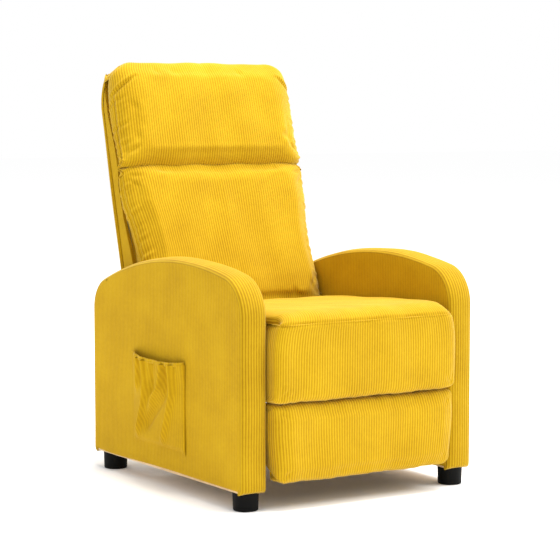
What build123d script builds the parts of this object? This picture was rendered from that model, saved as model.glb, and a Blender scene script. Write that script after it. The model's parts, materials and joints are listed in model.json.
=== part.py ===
# Push-back recliner armchair: two arched arms on round feet, a seat that glides forward on
# swinging rockers, a back that leans rearward, and a legrest on a folding linkage.
#
# Millimetres. +X is the sitter's left, the front faces -Y, +Z is up, and the origin is on the
# floor under the middle of the chair's overall box.
from build123d import *
import os
from math import cos, radians, sin

os.makedirs("parts", exist_ok=True)

# ---- overall sizes -------------------------------------------------------------------------
overall_width = 650.0       # over the two arms, without the side pocket
overall_depth = 852.0       # from the seat's front to the back's rear-most point
overall_height = 1024.0     # from the floor to the back's roll, before its front edge is rounded

# ---- arms ----------------------------------------------------------------------------------
arm_thickness = 71.0
arm_depth = 695.0
arm_height = 541.0          # top of the flat side panels
arm_crown = 11.0            # how far the padded band stands proud of the panels' outline
seat_overhang = 49.0        # the seat's front stands this far ahead of the arm panels
arm_top_radius = 1000.0     # gentle arch along the top
arm_top_setback = 277.0     # highest point of the arch, behind the arm's front
arm_front_radius = 86.0
arm_rear_radius = 60.0
band_depth = 12.0           # how far the band reaches inside the panels' outline
panel_thickness = 4.0       # padded fabric over a side board
board_thickness = 15.0
post_depth = 45.0
post_height = 350.0
bottom_rail_height = 40.0

# ---- feet ----------------------------------------------------------------------------------
foot_height = 43.0
foot_top_radius = 30.0
foot_bottom_radius = 28.5
front_foot_inset = 31.0     # foot centre behind the arm's front
rear_foot_inset = 45.0      # foot centre ahead of the arm's rear
stud_radius = 4.0
stud_length = 60.0
stud_grip = 30.0            # length of stud inside the foot

# ---- seat and legrest ----------------------------------------------------------------------
side_gap = 4.0              # between an arm and the seat or the back
seat_border_bottom = 243.0
seat_seam_height = 420.0    # where the front border meets the seat cushion
seat_front_edge = 455.0
seat_rear_edge = 434.0
seat_bottom = 345.0
seat_tuck = 14.4            # how far the seat cushion reaches in under the lumbar cushion's front
border_thickness = 44.0
soft_gap = 0.4              # between padded pieces that lie against each other
rail_thickness = 22.0
seat_rail_width = 20.0
seat_rail_bottom = 292.0
seat_rail_top = 341.0
front_rail_bottom = 262.0
spring_count = 5
spring_pitch = 80.0
spring_wire = 1.9
spring_half_wave = 20.0
spring_step = 44.0
clip_width = 14.0
clip_length = 12.0
clip_height = 3.9
wire_gap = 0.4
legrest_gap = 5.0           # between the legrest and the seat's front border
legrest_bottom = 61.0
legrest_setback = 12.0      # legrest face behind the seat border's face
legrest_pad_thickness = 47.0
legrest_board_thickness = 15.0

# ---- back ----------------------------------------------------------------------------------
hinge_height = 300.0
back_lean = 15.0            # the back frame leans rearward by this many degrees
back_frame_depth = 75.0     # from the cushions' rear face to the rear cover's inner face
rear_cover_thickness = 14.0
side_cover_thickness = 6.0
back_top_radius = 110.0     # roll of the back's top edge, seen from the side
back_corner_radius = 60.0   # top corners, seen from the front
back_taper = 10.0           # the back narrows by this much on each side towards its top
back_foot = 45.0            # lower edge of the back's sides above its hinge
rear_cover_foot = -60.0     # lower edge of the rear cover, below the hinge
lumbar_bottom = 70.0
lumbar_bottom_thickness = 75.0
lumbar_top_thickness = 46.0
pillow_groove = 455.0       # height of the groove between lumbar cushion and head pillow
pillow_thickness = 54.0
pillow_wrap_start = 560.0   # above this the head pillow covers the top of the frame
pillow_top_rounding = 45.0
cushion_nose_rounding = 28.0
border_foot_rounding = 12.0
legrest_corner_rounding = 16.0
legrest_front_rounding = 14.0
stile_width = 30.0
stile_front = -22.0         # front face of the lower stiles, from the back frame's middle
stile_rear = 28.0
top_rail_front = 3.0        # the frame is thinner where the head pillow wraps over it
stile_bottom = 60.0
stile_step = 556.0
stile_top = 650.0
back_rail_height = 40.0
strap_count = 5
strap_height = 50.0
strap_pitch = 74.0
strap_start = 150.0         # middle of the lowest strap
strap_thickness = 2.0

# ---- steel mechanism -----------------------------------------------------------------------
plate = 3.0                 # thickness of every flat steel plate
layer_gap = 3.0             # between neighbouring plates
pin_radius = 5.0
pin_clearance = 0.05
collar_radius = 8.0
collar_thickness = 2.2
link_radius = 10.0
rocker_length = 90.0
rocker_rest_angle = 15.0    # rockers hang this far behind vertical at rest
rocker_height = 270.0
front_rocker_y = -150.0
rear_rocker_y = 90.0
bolt_radius = 3.0
bolt_clearance = 0.1
bolt_head_radius = 6.0
bolt_head_height = 2.4
base_bracket_radius = 16.0          # rounded ends of the long base brackets
base_bracket_overhang = 24.0        # from a rocker's top pivot to the bracket's end circle
seat_plate_radius = 14.0            # rounded corners of the seat side plates
plate_nose_offset = 42.0            # plate's front corners, behind the seat border
plate_top_corner = 317.0
plate_low_corner = 262.0
plate_tail_offset = 70.0            # plate's rear top corner, in front of the recline hinge
plate_bolt_height = 312.0
front_bolt_offset = 150.0           # frontmost plate bolt, ahead of the front rocker
rear_bolt_offset = 20.0             # rearmost plate bolt, ahead of the rear rocker
back_bracket_radius = 16.0
back_bracket_end = 20.0             # bracket's end circle, above its last bolt
back_bolt_heights = (30.0, 110.0)   # bolts above the foot of the stiles
legrest_bracket_radius = 12.0
screw_low = 20.0                    # legrest screws below and above the board's middle
screw_high = 45.0

# Legrest linkage at rest, in side view. The drive and steady links are one parallelogram, and
# the drive link, carrier and board link make the second, so every ratio is exactly one.
drive_pivot = (-266.0, 245.0)       # drive link on the seat plate
drive_arm = (78.0, -105.0)          # from the drive pivot to the carrier pivot
steady_offset = (105.0, 7.0)        # from the drive pivot to the steady link's pivot
board_link_offset = (12.0, -55.0)   # from the carrier pivot to the board link's pivot
board_pivot = (-332.0, 203.0)       # carrier on the legrest bracket
drive_tube_radius = 10.0
drive_tube_wall = 3.0
bracket_pad = 6.0                   # rounding of the legrest bracket where it meets the board
bracket_flange = 15.0


# ---- side pocket on the right arm's outer panel --------------------------------------------
pocket_front = -138.0
pocket_rear = 106.0
pocket_bottom = 100.0
pocket_top = 313.0
pocket_wall = 2.5
pocket_depth = 8.0
hem_height = 8.0

# ---- cross rails of the base ---------------------------------------------------------------
base_rail_bottom = 80.0
base_rail_height = 50.0
front_base_rail_y = -49.0
rear_base_rail_setback = 78.0       # rear rail's middle, ahead of the arms' rear
rail_bolt_length = 50.0
rail_bolt_spacing = 24.0

# ---- worked out from the sizes above -------------------------------------------------------
half_width = overall_width / 2
seat_front = -overall_depth / 2
back_rear = overall_depth / 2
arm_front = seat_front + seat_overhang
arm_rear = arm_front + arm_depth
rear_base_rail_y = arm_rear - rear_base_rail_setback
arm_inner = half_width - arm_thickness
arm_centre = half_width - arm_thickness / 2
arm_peak = arm_front + arm_top_setback
body_bottom = foot_height
seat_half = arm_inner - side_gap
border_rear = seat_front + border_thickness
pin_hole = pin_radius + pin_clearance
bolt_hole = bolt_radius + bolt_clearance
inner_board_x = arm_inner + panel_thickness
outer_board_x = half_width - panel_thickness - board_thickness
core_inner = inner_board_x + board_thickness
core_width = outer_board_x - core_inner
board_inset = band_depth + soft_gap
reach = overall_width       # longer than any piece, for cutting tools

# Side view directions of the leaning back: v points rearward out of it, u points up along it.
lean_cos = cos(radians(back_lean))
lean_sin = sin(radians(back_lean))
frame_front = -back_frame_depth / 2
frame_rear = back_frame_depth / 2
cover_rear = frame_rear + rear_cover_thickness
roll_v = cover_rear - back_top_radius
roll_u = (overall_height - back_top_radius - hinge_height + roll_v * lean_sin) / lean_cos
hinge_y = back_rear - back_top_radius - roll_v * lean_cos - roll_u * lean_sin
seat_rear = hinge_y - back_frame_depth / 2 - lumbar_bottom_thickness + seat_tuck
back_top = roll_u + back_top_radius
back_origin = (0, hinge_y, hinge_height)
back_side = Plane(origin=back_origin, x_dir=(0, lean_cos, -lean_sin), z_dir=(1, 0, 0))
back_face = Plane(origin=back_origin, x_dir=(1, 0, 0), z_dir=(0, -lean_cos, lean_sin))


def moved(point, offset):
    """A side-view point moved by an offset."""
    return (point[0] + offset[0], point[1] + offset[1])


rocker_hang = (rocker_length * sin(radians(rocker_rest_angle)),
               -rocker_length * cos(radians(rocker_rest_angle)))
rocker_tops = [(front_rocker_y, rocker_height), (rear_rocker_y, rocker_height)]
rocker_feet = [moved(top, rocker_hang) for top in rocker_tops]
steady_pivot = moved(drive_pivot, steady_offset)
carrier_pivot = moved(drive_pivot, drive_arm)
steady_end = moved(steady_pivot, drive_arm)
board_link_pivot = moved(carrier_pivot, board_link_offset)
board_link_end = moved(board_pivot, board_link_offset)
recline_pivot = (hinge_y, hinge_height)

# Steel plates lie in layers, counted from the arm's inner panel towards the middle.
BASE_BRACKET, ROCKER, SEAT_PLATE, STEADY, DRIVE, CARRIER, BOARD_LINK, LEGREST = range(8)
BACK_BRACKET = STEADY


def layer_x(layer):
    """X of the inner face of a plate in a layer."""
    return arm_inner - plate - layer * (plate + layer_gap)


def finish(piece, name):
    """Label a finished piece and write its STEP file."""
    piece.part.label = name
    export_step(piece.part, f"parts/{name}.step")


def flat_link(layer, pivots, radius=link_radius):
    """A flat steel link on each side of the chair, rounded about its pivots."""
    with BuildPart() as link:
        with BuildSketch(Plane.YZ.offset(layer_x(layer))):
            with Locations(*pivots):
                Circle(radius)
            if len(pivots) > 1:
                make_hull()
            with Locations(*pivots):
                Circle(pin_hole, mode=Mode.SUBTRACT)
        extrude(amount=plate)
        mirror(about=Plane.YZ)
    return link


def pins(places):
    """Pivot pins on both sides. Each is fixed in its own plate and turns in the other one."""
    end_play = 0.6
    collar_play = layer_gap - collar_thickness
    with BuildPart() as group:
        for pivot, own, other in places:
            own_x = layer_x(own)
            other_x = layer_x(other)
            if other_x > own_x:
                shank = (own_x, other_x + plate + end_play)
                collar = (own_x + plate, other_x - collar_play)
            else:
                shank = (other_x - end_play, own_x + plate)
                collar = (other_x + plate + collar_play, own_x)
            for (start, end), radius in ((shank, pin_radius), (collar, collar_radius)):
                with BuildSketch(Plane.YZ.offset(start)):
                    with Locations(pivot):
                        Circle(radius)
                extrude(amount=end - start)
        mirror(about=Plane.YZ)
    return group


def arm_outline(grow):
    """Arched side outline of an arm, grown or shrunk all round except at its bottom."""
    front = arm_front - grow
    rear = arm_rear + grow
    tall = arm_height + arm_top_radius
    with BuildSketch() as outline:
        with BuildLine():
            Polyline((front, body_bottom), (rear, body_bottom), (rear, tall), (front, tall),
                     close=True)
        make_face()
        with Locations((arm_peak, arm_height - arm_top_radius)):
            Circle(arm_top_radius + grow, mode=Mode.INTERSECT)
        upper = outline.vertices().sort_by(Axis.Y)[-2:].sort_by(Axis.X)
        fillet(upper[0], arm_front_radius + grow)
        upper = outline.vertices().sort_by(Axis.X)[-2:].sort_by(Axis.Y)
        fillet(upper[-1], arm_rear_radius + grow)
    return outline.sketch


# ---- arms: boards, posts, rails, padding ---------------------------------------------------
foot_places = [(arm_centre, arm_front + front_foot_inset), (arm_centre, arm_rear - rear_foot_inset)]
post_places = [arm_front + board_inset + post_depth / 2, arm_rear - board_inset - post_depth / 2]
base_rail_places = [front_base_rail_y, rear_base_rail_y]
rail_bolt_height = base_rail_bottom + base_rail_height / 2
rail_bolt_places = [
    (y, rail_bolt_height + sign * rail_bolt_spacing / 2) for y in base_rail_places for sign in (-1, 1)
]
bracket_middle = (front_rocker_y + rear_rocker_y) / 2
bracket_bolt_places = [
    (front_rocker_y + base_bracket_overhang, rocker_height), (bracket_middle, rocker_height),
    (rear_rocker_y - base_bracket_overhang, rocker_height),
]
outer_outline = arm_outline(arm_crown)
seam_outline = arm_outline(0)
board_outline = arm_outline(-board_inset)
band_inner_outline = arm_outline(-band_depth)

for side, sign in (("right", -1), ("left", 1)):
    with BuildPart() as arm_band:
        with BuildSketch(Plane.YZ.offset(sign * arm_inner)):
            add(outer_outline)
            add(band_inner_outline, mode=Mode.SUBTRACT)
        extrude(amount=sign * arm_thickness)
        for start in (arm_inner, half_width - panel_thickness):
            with BuildSketch(Plane.YZ.offset(sign * start)):
                add(seam_outline)
            extrude(amount=sign * panel_thickness, mode=Mode.SUBTRACT)
    finish(arm_band, f"arm_band_{side}")

    with BuildPart() as outer_panel:
        with BuildSketch(Plane.YZ.offset(sign * (half_width - panel_thickness))):
            add(seam_outline)
        extrude(amount=sign * panel_thickness)
    finish(outer_panel, f"arm_outer_panel_{side}")

    with BuildPart() as inner_panel:
        with BuildSketch(Plane.YZ.offset(sign * arm_inner)):
            add(seam_outline)
            with Locations(*rail_bolt_places, *bracket_bolt_places):
                Circle(bolt_hole, mode=Mode.SUBTRACT)
        extrude(amount=sign * panel_thickness)
    finish(inner_panel, f"arm_inner_panel_{side}")

    with BuildPart() as inner_board:
        with BuildSketch(Plane.YZ.offset(sign * inner_board_x)):
            add(board_outline)
            with Locations(*rail_bolt_places, *bracket_bolt_places):
                Circle(bolt_hole, mode=Mode.SUBTRACT)
        extrude(amount=sign * board_thickness)
    finish(inner_board, f"arm_inner_board_{side}")

    with BuildPart() as outer_board:
        with BuildSketch(Plane.YZ.offset(sign * outer_board_x)):
            add(board_outline)
        extrude(amount=sign * board_thickness)
    finish(outer_board, f"arm_outer_board_{side}")

    with BuildPart() as arm_posts:
        with BuildSketch(Plane.XY.offset(body_bottom)):
            with Locations(*[(sign * (core_inner + core_width / 2), y) for y in post_places]):
                Rectangle(core_width, post_depth)
            with Locations(*[(sign * x, y) for x, y in foot_places]):
                Circle(stud_radius + bolt_clearance, mode=Mode.SUBTRACT)
        extrude(amount=post_height)
    finish(arm_posts, f"arm_posts_{side}")

    rail_length = post_places[1] - post_places[0] - post_depth
    with BuildPart() as arm_rail:
        with BuildSketch(Plane.XY.offset(body_bottom)):
            with Locations((sign * (core_inner + core_width / 2), sum(post_places) / 2)):
                Rectangle(core_width, rail_length)
        extrude(amount=bottom_rail_height)
    finish(arm_rail, f"arm_bottom_rail_{side}")

# ---- feet and their studs ------------------------------------------------------------------
all_feet = [(sign * x, y) for sign in (-1, 1) for x, y in foot_places]
stud_bottom = foot_height - stud_grip
with BuildPart() as feet:
    for place in all_feet:
        with BuildSketch(Plane.XY):
            with Locations(place):
                Circle(foot_bottom_radius)
        with BuildSketch(Plane.XY.offset(foot_height)):
            with Locations(place):
                Circle(foot_top_radius)
        loft()
    fillet(feet.edges().group_by(Axis.Z)[0], radius=3)
    with Locations(*[(x, y, foot_height) for x, y in all_feet]):
        Hole(stud_radius + bolt_clearance, depth=stud_grip)
finish(feet, "feet")

with BuildPart() as foot_studs:
    with BuildSketch(Plane.XY.offset(stud_bottom)):
        with Locations(*all_feet):
            Circle(stud_radius)
    extrude(amount=stud_length)
finish(foot_studs, "foot_studs")

# ---- side pocket ---------------------------------------------------------------------------
pocket_middle = ((pocket_front + pocket_rear) / 2, (pocket_bottom + pocket_top - hem_height) / 2)
pocket_size = (pocket_rear - pocket_front, pocket_top - hem_height - pocket_bottom)
with BuildPart() as side_pocket:
    with BuildSketch(Plane.YZ.offset(-half_width)):
        with Locations(pocket_middle):
            Rectangle(*pocket_size)
    extrude(amount=-(pocket_depth + pocket_wall))
    with BuildSketch(Plane.YZ.offset(-half_width)):
        with Locations(moved(pocket_middle, (0, pocket_wall))):
            Rectangle(pocket_size[0] - 2 * pocket_wall, pocket_size[1])
    extrude(amount=-pocket_depth, mode=Mode.SUBTRACT)
finish(side_pocket, "side_pocket")

with BuildPart() as pocket_elastic:
    with BuildSketch(Plane.YZ.offset(-half_width - pocket_depth)):
        with Locations((pocket_middle[0], pocket_top - hem_height / 2)):
            Rectangle(pocket_size[0], hem_height)
    extrude(amount=-pocket_wall)
finish(pocket_elastic, "pocket_elastic")

# ---- base: cross rails, mechanism brackets, bolts ------------------------------------------
for rail_name, rail_y in (("front_base_rail", front_base_rail_y), ("rear_base_rail", rear_base_rail_y)):
    with BuildPart() as base_rail:
        with BuildSketch(Plane.YZ.offset(-arm_inner)):
            with Locations((rail_y, rail_bolt_height)):
                Rectangle(rail_thickness, base_rail_height)
        extrude(amount=2 * arm_inner)
        for sign in (-1, 1):
            with BuildSketch(Plane.YZ.offset(sign * arm_inner)):
                with Locations((rail_y, rail_bolt_height)):
                    with GridLocations(1, rail_bolt_spacing, 1, 2):
                        Circle(bolt_hole)
            extrude(amount=-sign * rail_bolt_length, mode=Mode.SUBTRACT)
    finish(base_rail, rail_name)

with BuildPart() as rail_bolts:
    with BuildSketch(Plane.YZ.offset(core_inner - rail_bolt_length)):
        with Locations(*rail_bolt_places):
            Circle(bolt_radius)
    extrude(amount=rail_bolt_length)
    with BuildSketch(Plane.YZ.offset(core_inner)):
        with Locations(*rail_bolt_places):
            RegularPolygon(bolt_head_radius, 6)
    extrude(amount=bolt_head_height)
    mirror(about=Plane.YZ)
finish(rail_bolts, "rail_bolts")

with BuildPart() as base_brackets:
    with BuildSketch(Plane.YZ.offset(layer_x(BASE_BRACKET))):
        with Locations(moved(rocker_tops[0], (-base_bracket_overhang, 0)),
                       moved(rocker_tops[1], (base_bracket_overhang, 0))):
            Circle(base_bracket_radius)
        make_hull()
        with Locations(*rocker_tops):
            Circle(pin_hole, mode=Mode.SUBTRACT)
        with Locations(*bracket_bolt_places):
            Circle(bolt_hole, mode=Mode.SUBTRACT)
    extrude(amount=plate)
    mirror(about=Plane.YZ)
finish(base_brackets, "base_brackets")

with BuildPart() as bracket_bolts:
    with BuildSketch(Plane.YZ.offset(layer_x(BASE_BRACKET) - bolt_head_height)):
        with Locations(*bracket_bolt_places):
            Circle(bolt_head_radius)
    extrude(amount=bolt_head_height)
    with BuildSketch(Plane.YZ.offset(layer_x(BASE_BRACKET))):
        with Locations(*bracket_bolt_places):
            Circle(bolt_radius)
    extrude(amount=core_inner - layer_x(BASE_BRACKET))
    mirror(about=Plane.YZ)
finish(bracket_bolts, "bracket_bolts")
finish(pins([(top, BASE_BRACKET, ROCKER) for top in rocker_tops]), "rocker_base_pins")

# ---- rockers -------------------------------------------------------------------------------
for name, top, foot in zip(("front_rockers", "rear_rockers"), rocker_tops, rocker_feet):
    finish(flat_link(ROCKER, [top, foot]), name)

# ---- seat: plates, rails, springs, cushion, border ------------------------------------------
plate_bolt_places = [
    (y, plate_bolt_height)
    for y in (front_rocker_y - front_bolt_offset, bracket_middle, rear_rocker_y - rear_bolt_offset)
]
with BuildPart() as seat_side_plates:
    with BuildSketch(Plane.YZ.offset(layer_x(SEAT_PLATE))):
        with Locations((border_rear + plate_nose_offset, plate_top_corner),
                       (border_rear + plate_nose_offset, plate_low_corner), *rocker_feet,
                       recline_pivot, (hinge_y - plate_tail_offset, plate_top_corner)):
            Circle(seat_plate_radius)
        make_hull()
        with Locations(drive_pivot, steady_pivot, *rocker_feet, recline_pivot):
            Circle(pin_hole, mode=Mode.SUBTRACT)
        with Locations(*plate_bolt_places):
            Circle(bolt_hole, mode=Mode.SUBTRACT)
    extrude(amount=plate)
    mirror(about=Plane.YZ)
finish(seat_side_plates, "seat_side_plates")

rail_outer = layer_x(SEAT_PLATE)
front_rail_rear = border_rear + rail_thickness
rear_rail_rear = seat_rear + soft_gap
rear_rail_front = rear_rail_rear - rail_thickness
with BuildPart() as seat_side_rails:
    with BuildSketch(Plane.XY.offset(seat_rail_bottom)):
        with Locations((rail_outer - seat_rail_width / 2, (front_rail_rear + rear_rail_front) / 2)):
            Rectangle(seat_rail_width, rear_rail_front - front_rail_rear)
    extrude(amount=seat_rail_top - seat_rail_bottom)
    with BuildSketch(Plane.YZ.offset(rail_outer)):
        with Locations(*plate_bolt_places):
            Circle(bolt_hole)
    extrude(amount=-seat_rail_width, mode=Mode.SUBTRACT)
    mirror(about=Plane.YZ)
finish(seat_side_rails, "seat_side_rails")

with BuildPart() as plate_bolts:
    with BuildSketch(Plane.YZ.offset(rail_outer - seat_rail_width)):
        with Locations(*plate_bolt_places):
            Circle(bolt_radius)
    extrude(amount=seat_rail_width + plate)
    with BuildSketch(Plane.YZ.offset(rail_outer + plate)):
        with Locations(*plate_bolt_places):
            Circle(bolt_head_radius)
    extrude(amount=bolt_head_height)
    mirror(about=Plane.YZ)
finish(plate_bolts, "plate_bolts")

for name, front, rear, bottom in (
    ("seat_front_rail", border_rear, front_rail_rear, front_rail_bottom),
    ("seat_rear_rail", rear_rail_front, rear_rail_rear, seat_rail_bottom),
):
    with BuildPart() as seat_rail:
        with BuildSketch(Plane.YZ):
            with BuildLine():
                Polyline((front, bottom), (rear, bottom), (rear, seat_rail_top),
                         (front, seat_rail_top), close=True)
            make_face()
        extrude(amount=rail_outer, both=True)
    finish(seat_rail, name)

spring_height = seat_rail_top + spring_wire + wire_gap / 4
spring_front = border_rear + rail_thickness / 2
spring_rear = rear_rail_rear - rail_thickness / 2
spring_columns = [(i - (spring_count - 1) / 2) * spring_pitch for i in range(spring_count)]
wave_count = int((spring_rear - spring_front) / spring_step) - 1
wave_start = (spring_front + spring_rear - wave_count * spring_step) / 2
with BuildPart() as seat_springs:
    for column in spring_columns:
        path = [(column, spring_front, spring_height), (column, wave_start, spring_height)]
        for wave in range(wave_count):
            reach_x = column + spring_half_wave * (1 if wave % 2 == 0 else -1)
            path += [(reach_x, wave_start + wave * spring_step, spring_height),
                     (reach_x, wave_start + (wave + 1) * spring_step, spring_height)]
        path += [(column, wave_start + wave_count * spring_step, spring_height),
                 (column, spring_rear, spring_height)]
        with BuildLine() as wire:
            FilletPolyline(*path, radius=spring_step * 0.3)
        with BuildSketch(Plane(origin=path[0], z_dir=(0, 1, 0))):
            Circle(spring_wire)
        sweep(path=wire.wire())
finish(seat_springs, "seat_springs")

with BuildPart() as spring_clips:
    with BuildSketch(Plane.XY.offset(seat_rail_top)):
        for y in (spring_front, spring_rear):
            with Locations(*[(column, y) for column in spring_columns]):
                Rectangle(clip_width, clip_length)
    extrude(amount=clip_height)
    for y in (spring_front, spring_rear):
        with BuildSketch(Plane.XZ.offset(-y)):
            with Locations(*[(column, spring_height) for column in spring_columns]):
                Circle(spring_wire + wire_gap)
        extrude(amount=clip_length, both=True, mode=Mode.SUBTRACT)
finish(spring_clips, "spring_clips")

with BuildPart() as seat_cushion:
    with BuildSketch(Plane.YZ):
        with BuildLine():
            Polyline(
                (border_rear + soft_gap, seat_bottom),
                (border_rear + soft_gap, seat_seam_height),
                (seat_front + soft_gap, seat_seam_height),
                (seat_front + soft_gap, seat_front_edge),
                (seat_rear, seat_rear_edge),
                (seat_rear, seat_bottom),
                close=True,
            )
        make_face()
    extrude(amount=seat_half, both=True)
    nose = seat_cushion.edges().filter_by(Axis.X).sort_by(Axis.Z)[-1]
    fillet(nose, radius=cushion_nose_rounding)
finish(seat_cushion, "seat_cushion")

with BuildPart() as seat_border:
    with BuildSketch(Plane.YZ):
        with BuildLine():
            Polyline(
                (seat_front, seat_border_bottom),
                (border_rear - soft_gap, seat_border_bottom),
                (border_rear - soft_gap, seat_seam_height - soft_gap),
                (seat_front, seat_seam_height - soft_gap),
                close=True,
            )
        make_face()
    extrude(amount=seat_half, both=True)
    border_foot = seat_border.edges().filter_by(Axis.X).group_by(Axis.Z)[0].sort_by(Axis.Y)[0]
    fillet(border_foot, radius=border_foot_rounding)
finish(seat_border, "seat_border")
finish(
    pins([(foot, SEAT_PLATE, ROCKER) for foot in rocker_feet]
         + [(drive_pivot, SEAT_PLATE, DRIVE), (steady_pivot, SEAT_PLATE, STEADY),
            (recline_pivot, SEAT_PLATE, BACK_BRACKET)]),
    "seat_plate_pins",
)

# ---- back ----------------------------------------------------------------------------------


def back_outline(inset, foot=back_foot):
    """Side outline of the back with its rolled top edge, shrunk by an inset."""
    radius = back_top_radius - inset
    rear = cover_rear - inset
    with BuildSketch() as outline:
        with Locations((roll_v, roll_u)):
            Circle(radius)
        with Locations((rear - radius, (roll_u + foot) / 2)):
            Rectangle(2 * radius, roll_u - foot)
    return outline.sketch


def back_front_outline(inset):
    """Front outline of the back, tapered, with rounded top corners, shrunk by an inset."""
    bottom = seat_half - inset
    top = seat_half - back_taper - inset
    with BuildSketch() as outline:
        with BuildLine():
            Polyline((-bottom, rear_cover_foot), (bottom, rear_cover_foot), (top, back_top - inset),
                     (-top, back_top - inset), close=True)
        make_face()
        fillet(outline.vertices().group_by(Axis.Y)[-1], back_corner_radius - inset)
    return outline.sketch


def side_region(points):
    """A face from side-view points of the leaning back."""
    with BuildSketch() as region:
        with BuildLine():
            Polyline(*points, close=True)
        make_face()
    return region.sketch


full_face = back_front_outline(0)
inner_face = back_front_outline(side_cover_thickness)

with BuildPart() as back_rear_cover:
    with BuildSketch(back_side):
        add(back_outline(0, rear_cover_foot))
        add(back_outline(rear_cover_thickness, rear_cover_foot), mode=Mode.SUBTRACT)
        with Locations((-reach / 2, roll_u)):
            Rectangle(reach, 4 * reach, mode=Mode.SUBTRACT)
    extrude(amount=seat_half, both=True)
    with BuildSketch(back_face):
        add(full_face)
    extrude(amount=reach, both=True, mode=Mode.INTERSECT)
finish(back_rear_cover, "back_rear_cover")

with BuildPart() as back_side_covers:
    with BuildSketch(back_side):
        add(back_outline(rear_cover_thickness + soft_gap))
        add(side_region([
            (frame_front, back_foot), (cover_rear, back_foot), (cover_rear, back_top),
            (0, back_top), (0, pillow_wrap_start), (frame_front, pillow_wrap_start),
        ]), mode=Mode.INTERSECT)
    extrude(amount=seat_half, both=True)
    with BuildSketch(back_face):
        add(full_face)
        add(inner_face, mode=Mode.SUBTRACT)
    extrude(amount=reach, both=True, mode=Mode.INTERSECT)
finish(back_side_covers, "back_side_covers")

lumbar_front_bottom = frame_front - lumbar_bottom_thickness
lumbar_front_top = frame_front - lumbar_top_thickness
with BuildPart() as lumbar_cushion:
    with BuildSketch(back_side):
        add(side_region([
            (frame_front - soft_gap, lumbar_bottom), (lumbar_front_bottom, lumbar_bottom),
            (lumbar_front_top, pillow_groove - soft_gap), (frame_front - soft_gap, pillow_groove - soft_gap),
        ]))
    extrude(amount=seat_half, both=True)
    with BuildSketch(back_face):
        add(full_face)
    extrude(amount=reach, both=True, mode=Mode.INTERSECT)
finish(lumbar_cushion, "lumbar_cushion")

pillow_front = frame_front - pillow_thickness
with BuildPart() as head_pillow:
    with BuildSketch(back_side) as pillow_profile:
        add(side_region([
            (frame_front - soft_gap, pillow_groove), (pillow_front, pillow_groove),
            (pillow_front, back_top), (-soft_gap, back_top),
            (-soft_gap, pillow_wrap_start + soft_gap),
            (frame_front - soft_gap, pillow_wrap_start + soft_gap),
        ]))
        add(back_outline(0), mode=Mode.INTERSECT)
        top_front = pillow_profile.vertices().group_by(Axis.X)[0].sort_by(Axis.Y)[-1]
        fillet(top_front, radius=pillow_top_rounding)
    extrude(amount=seat_half, both=True)
    with BuildSketch(back_face):
        add(full_face)
    extrude(amount=reach, both=True, mode=Mode.INTERSECT)
finish(head_pillow, "head_pillow")

stile_outer = layer_x(BACK_BRACKET)
stile_inner = stile_outer - stile_width
back_bolt_places = [(0, stile_bottom + height) for height in back_bolt_heights]
with BuildPart() as back_stiles:
    with BuildSketch(back_side.offset(stile_inner)):
        add(side_region([
            (stile_front, stile_bottom), (stile_rear, stile_bottom), (stile_rear, stile_top),
            (top_rail_front, stile_top), (top_rail_front, stile_step), (stile_front, stile_step),
        ]))
        with Locations(*back_bolt_places):
            Circle(bolt_hole, mode=Mode.SUBTRACT)
    extrude(amount=stile_width)
    mirror(about=Plane.YZ)
finish(back_stiles, "back_stiles")

for name, front, bottom in (
    ("back_lower_rail", stile_front, stile_bottom),
    ("back_middle_rail", stile_front, stile_step - back_rail_height),
    ("back_top_rail", top_rail_front, stile_top - back_rail_height),
):
    with BuildPart() as back_rail:
        with BuildSketch(back_side):
            add(side_region([(front, bottom), (stile_rear, bottom), (stile_rear, bottom + back_rail_height),
                             (front, bottom + back_rail_height)]))
        extrude(amount=stile_inner, both=True)
    finish(back_rail, name)

with BuildPart() as back_straps:
    with BuildSketch(back_face.offset(-stile_front)):
        for strap in range(strap_count):
            with Locations((0, strap_start + strap * strap_pitch)):
                Rectangle(2 * stile_outer, strap_height)
    extrude(amount=strap_thickness)
finish(back_straps, "back_straps")

with BuildPart() as back_brackets:
    with BuildSketch(back_side.offset(layer_x(BACK_BRACKET))):
        with Locations((0, 0), (0, back_bolt_places[-1][1] + back_bracket_end)):
            Circle(back_bracket_radius)
        make_hull()
        with Locations((0, 0)):
            Circle(pin_hole, mode=Mode.SUBTRACT)
        with Locations(*back_bolt_places):
            Circle(bolt_hole, mode=Mode.SUBTRACT)
    extrude(amount=plate)
    mirror(about=Plane.YZ)
finish(back_brackets, "back_brackets")

with BuildPart() as back_bolts:
    with BuildSketch(back_side.offset(stile_inner)):
        with Locations(*back_bolt_places):
            Circle(bolt_radius)
    extrude(amount=stile_width + plate)
    with BuildSketch(back_side.offset(stile_outer + plate)):
        with Locations(*back_bolt_places):
            Circle(bolt_head_radius)
    extrude(amount=bolt_head_height)
    mirror(about=Plane.YZ)
finish(back_bolts, "back_bolts")

# ---- legrest linkage -----------------------------------------------------------------------
finish(flat_link(DRIVE, [drive_pivot, carrier_pivot, board_link_pivot]), "drive_links")
finish(flat_link(STEADY, [steady_pivot, steady_end]), "steady_links")
finish(flat_link(CARRIER, [carrier_pivot, steady_end, board_pivot]), "carrier_links")
finish(flat_link(BOARD_LINK, [board_link_pivot, board_link_end]), "board_links")
finish(pins([(carrier_pivot, DRIVE, CARRIER), (board_link_pivot, DRIVE, BOARD_LINK)]), "drive_link_pins")
finish(pins([(steady_end, CARRIER, STEADY)]), "carrier_link_pins")
finish(pins([(board_pivot, LEGREST, CARRIER), (board_link_end, LEGREST, BOARD_LINK)]), "legrest_pins")

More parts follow.
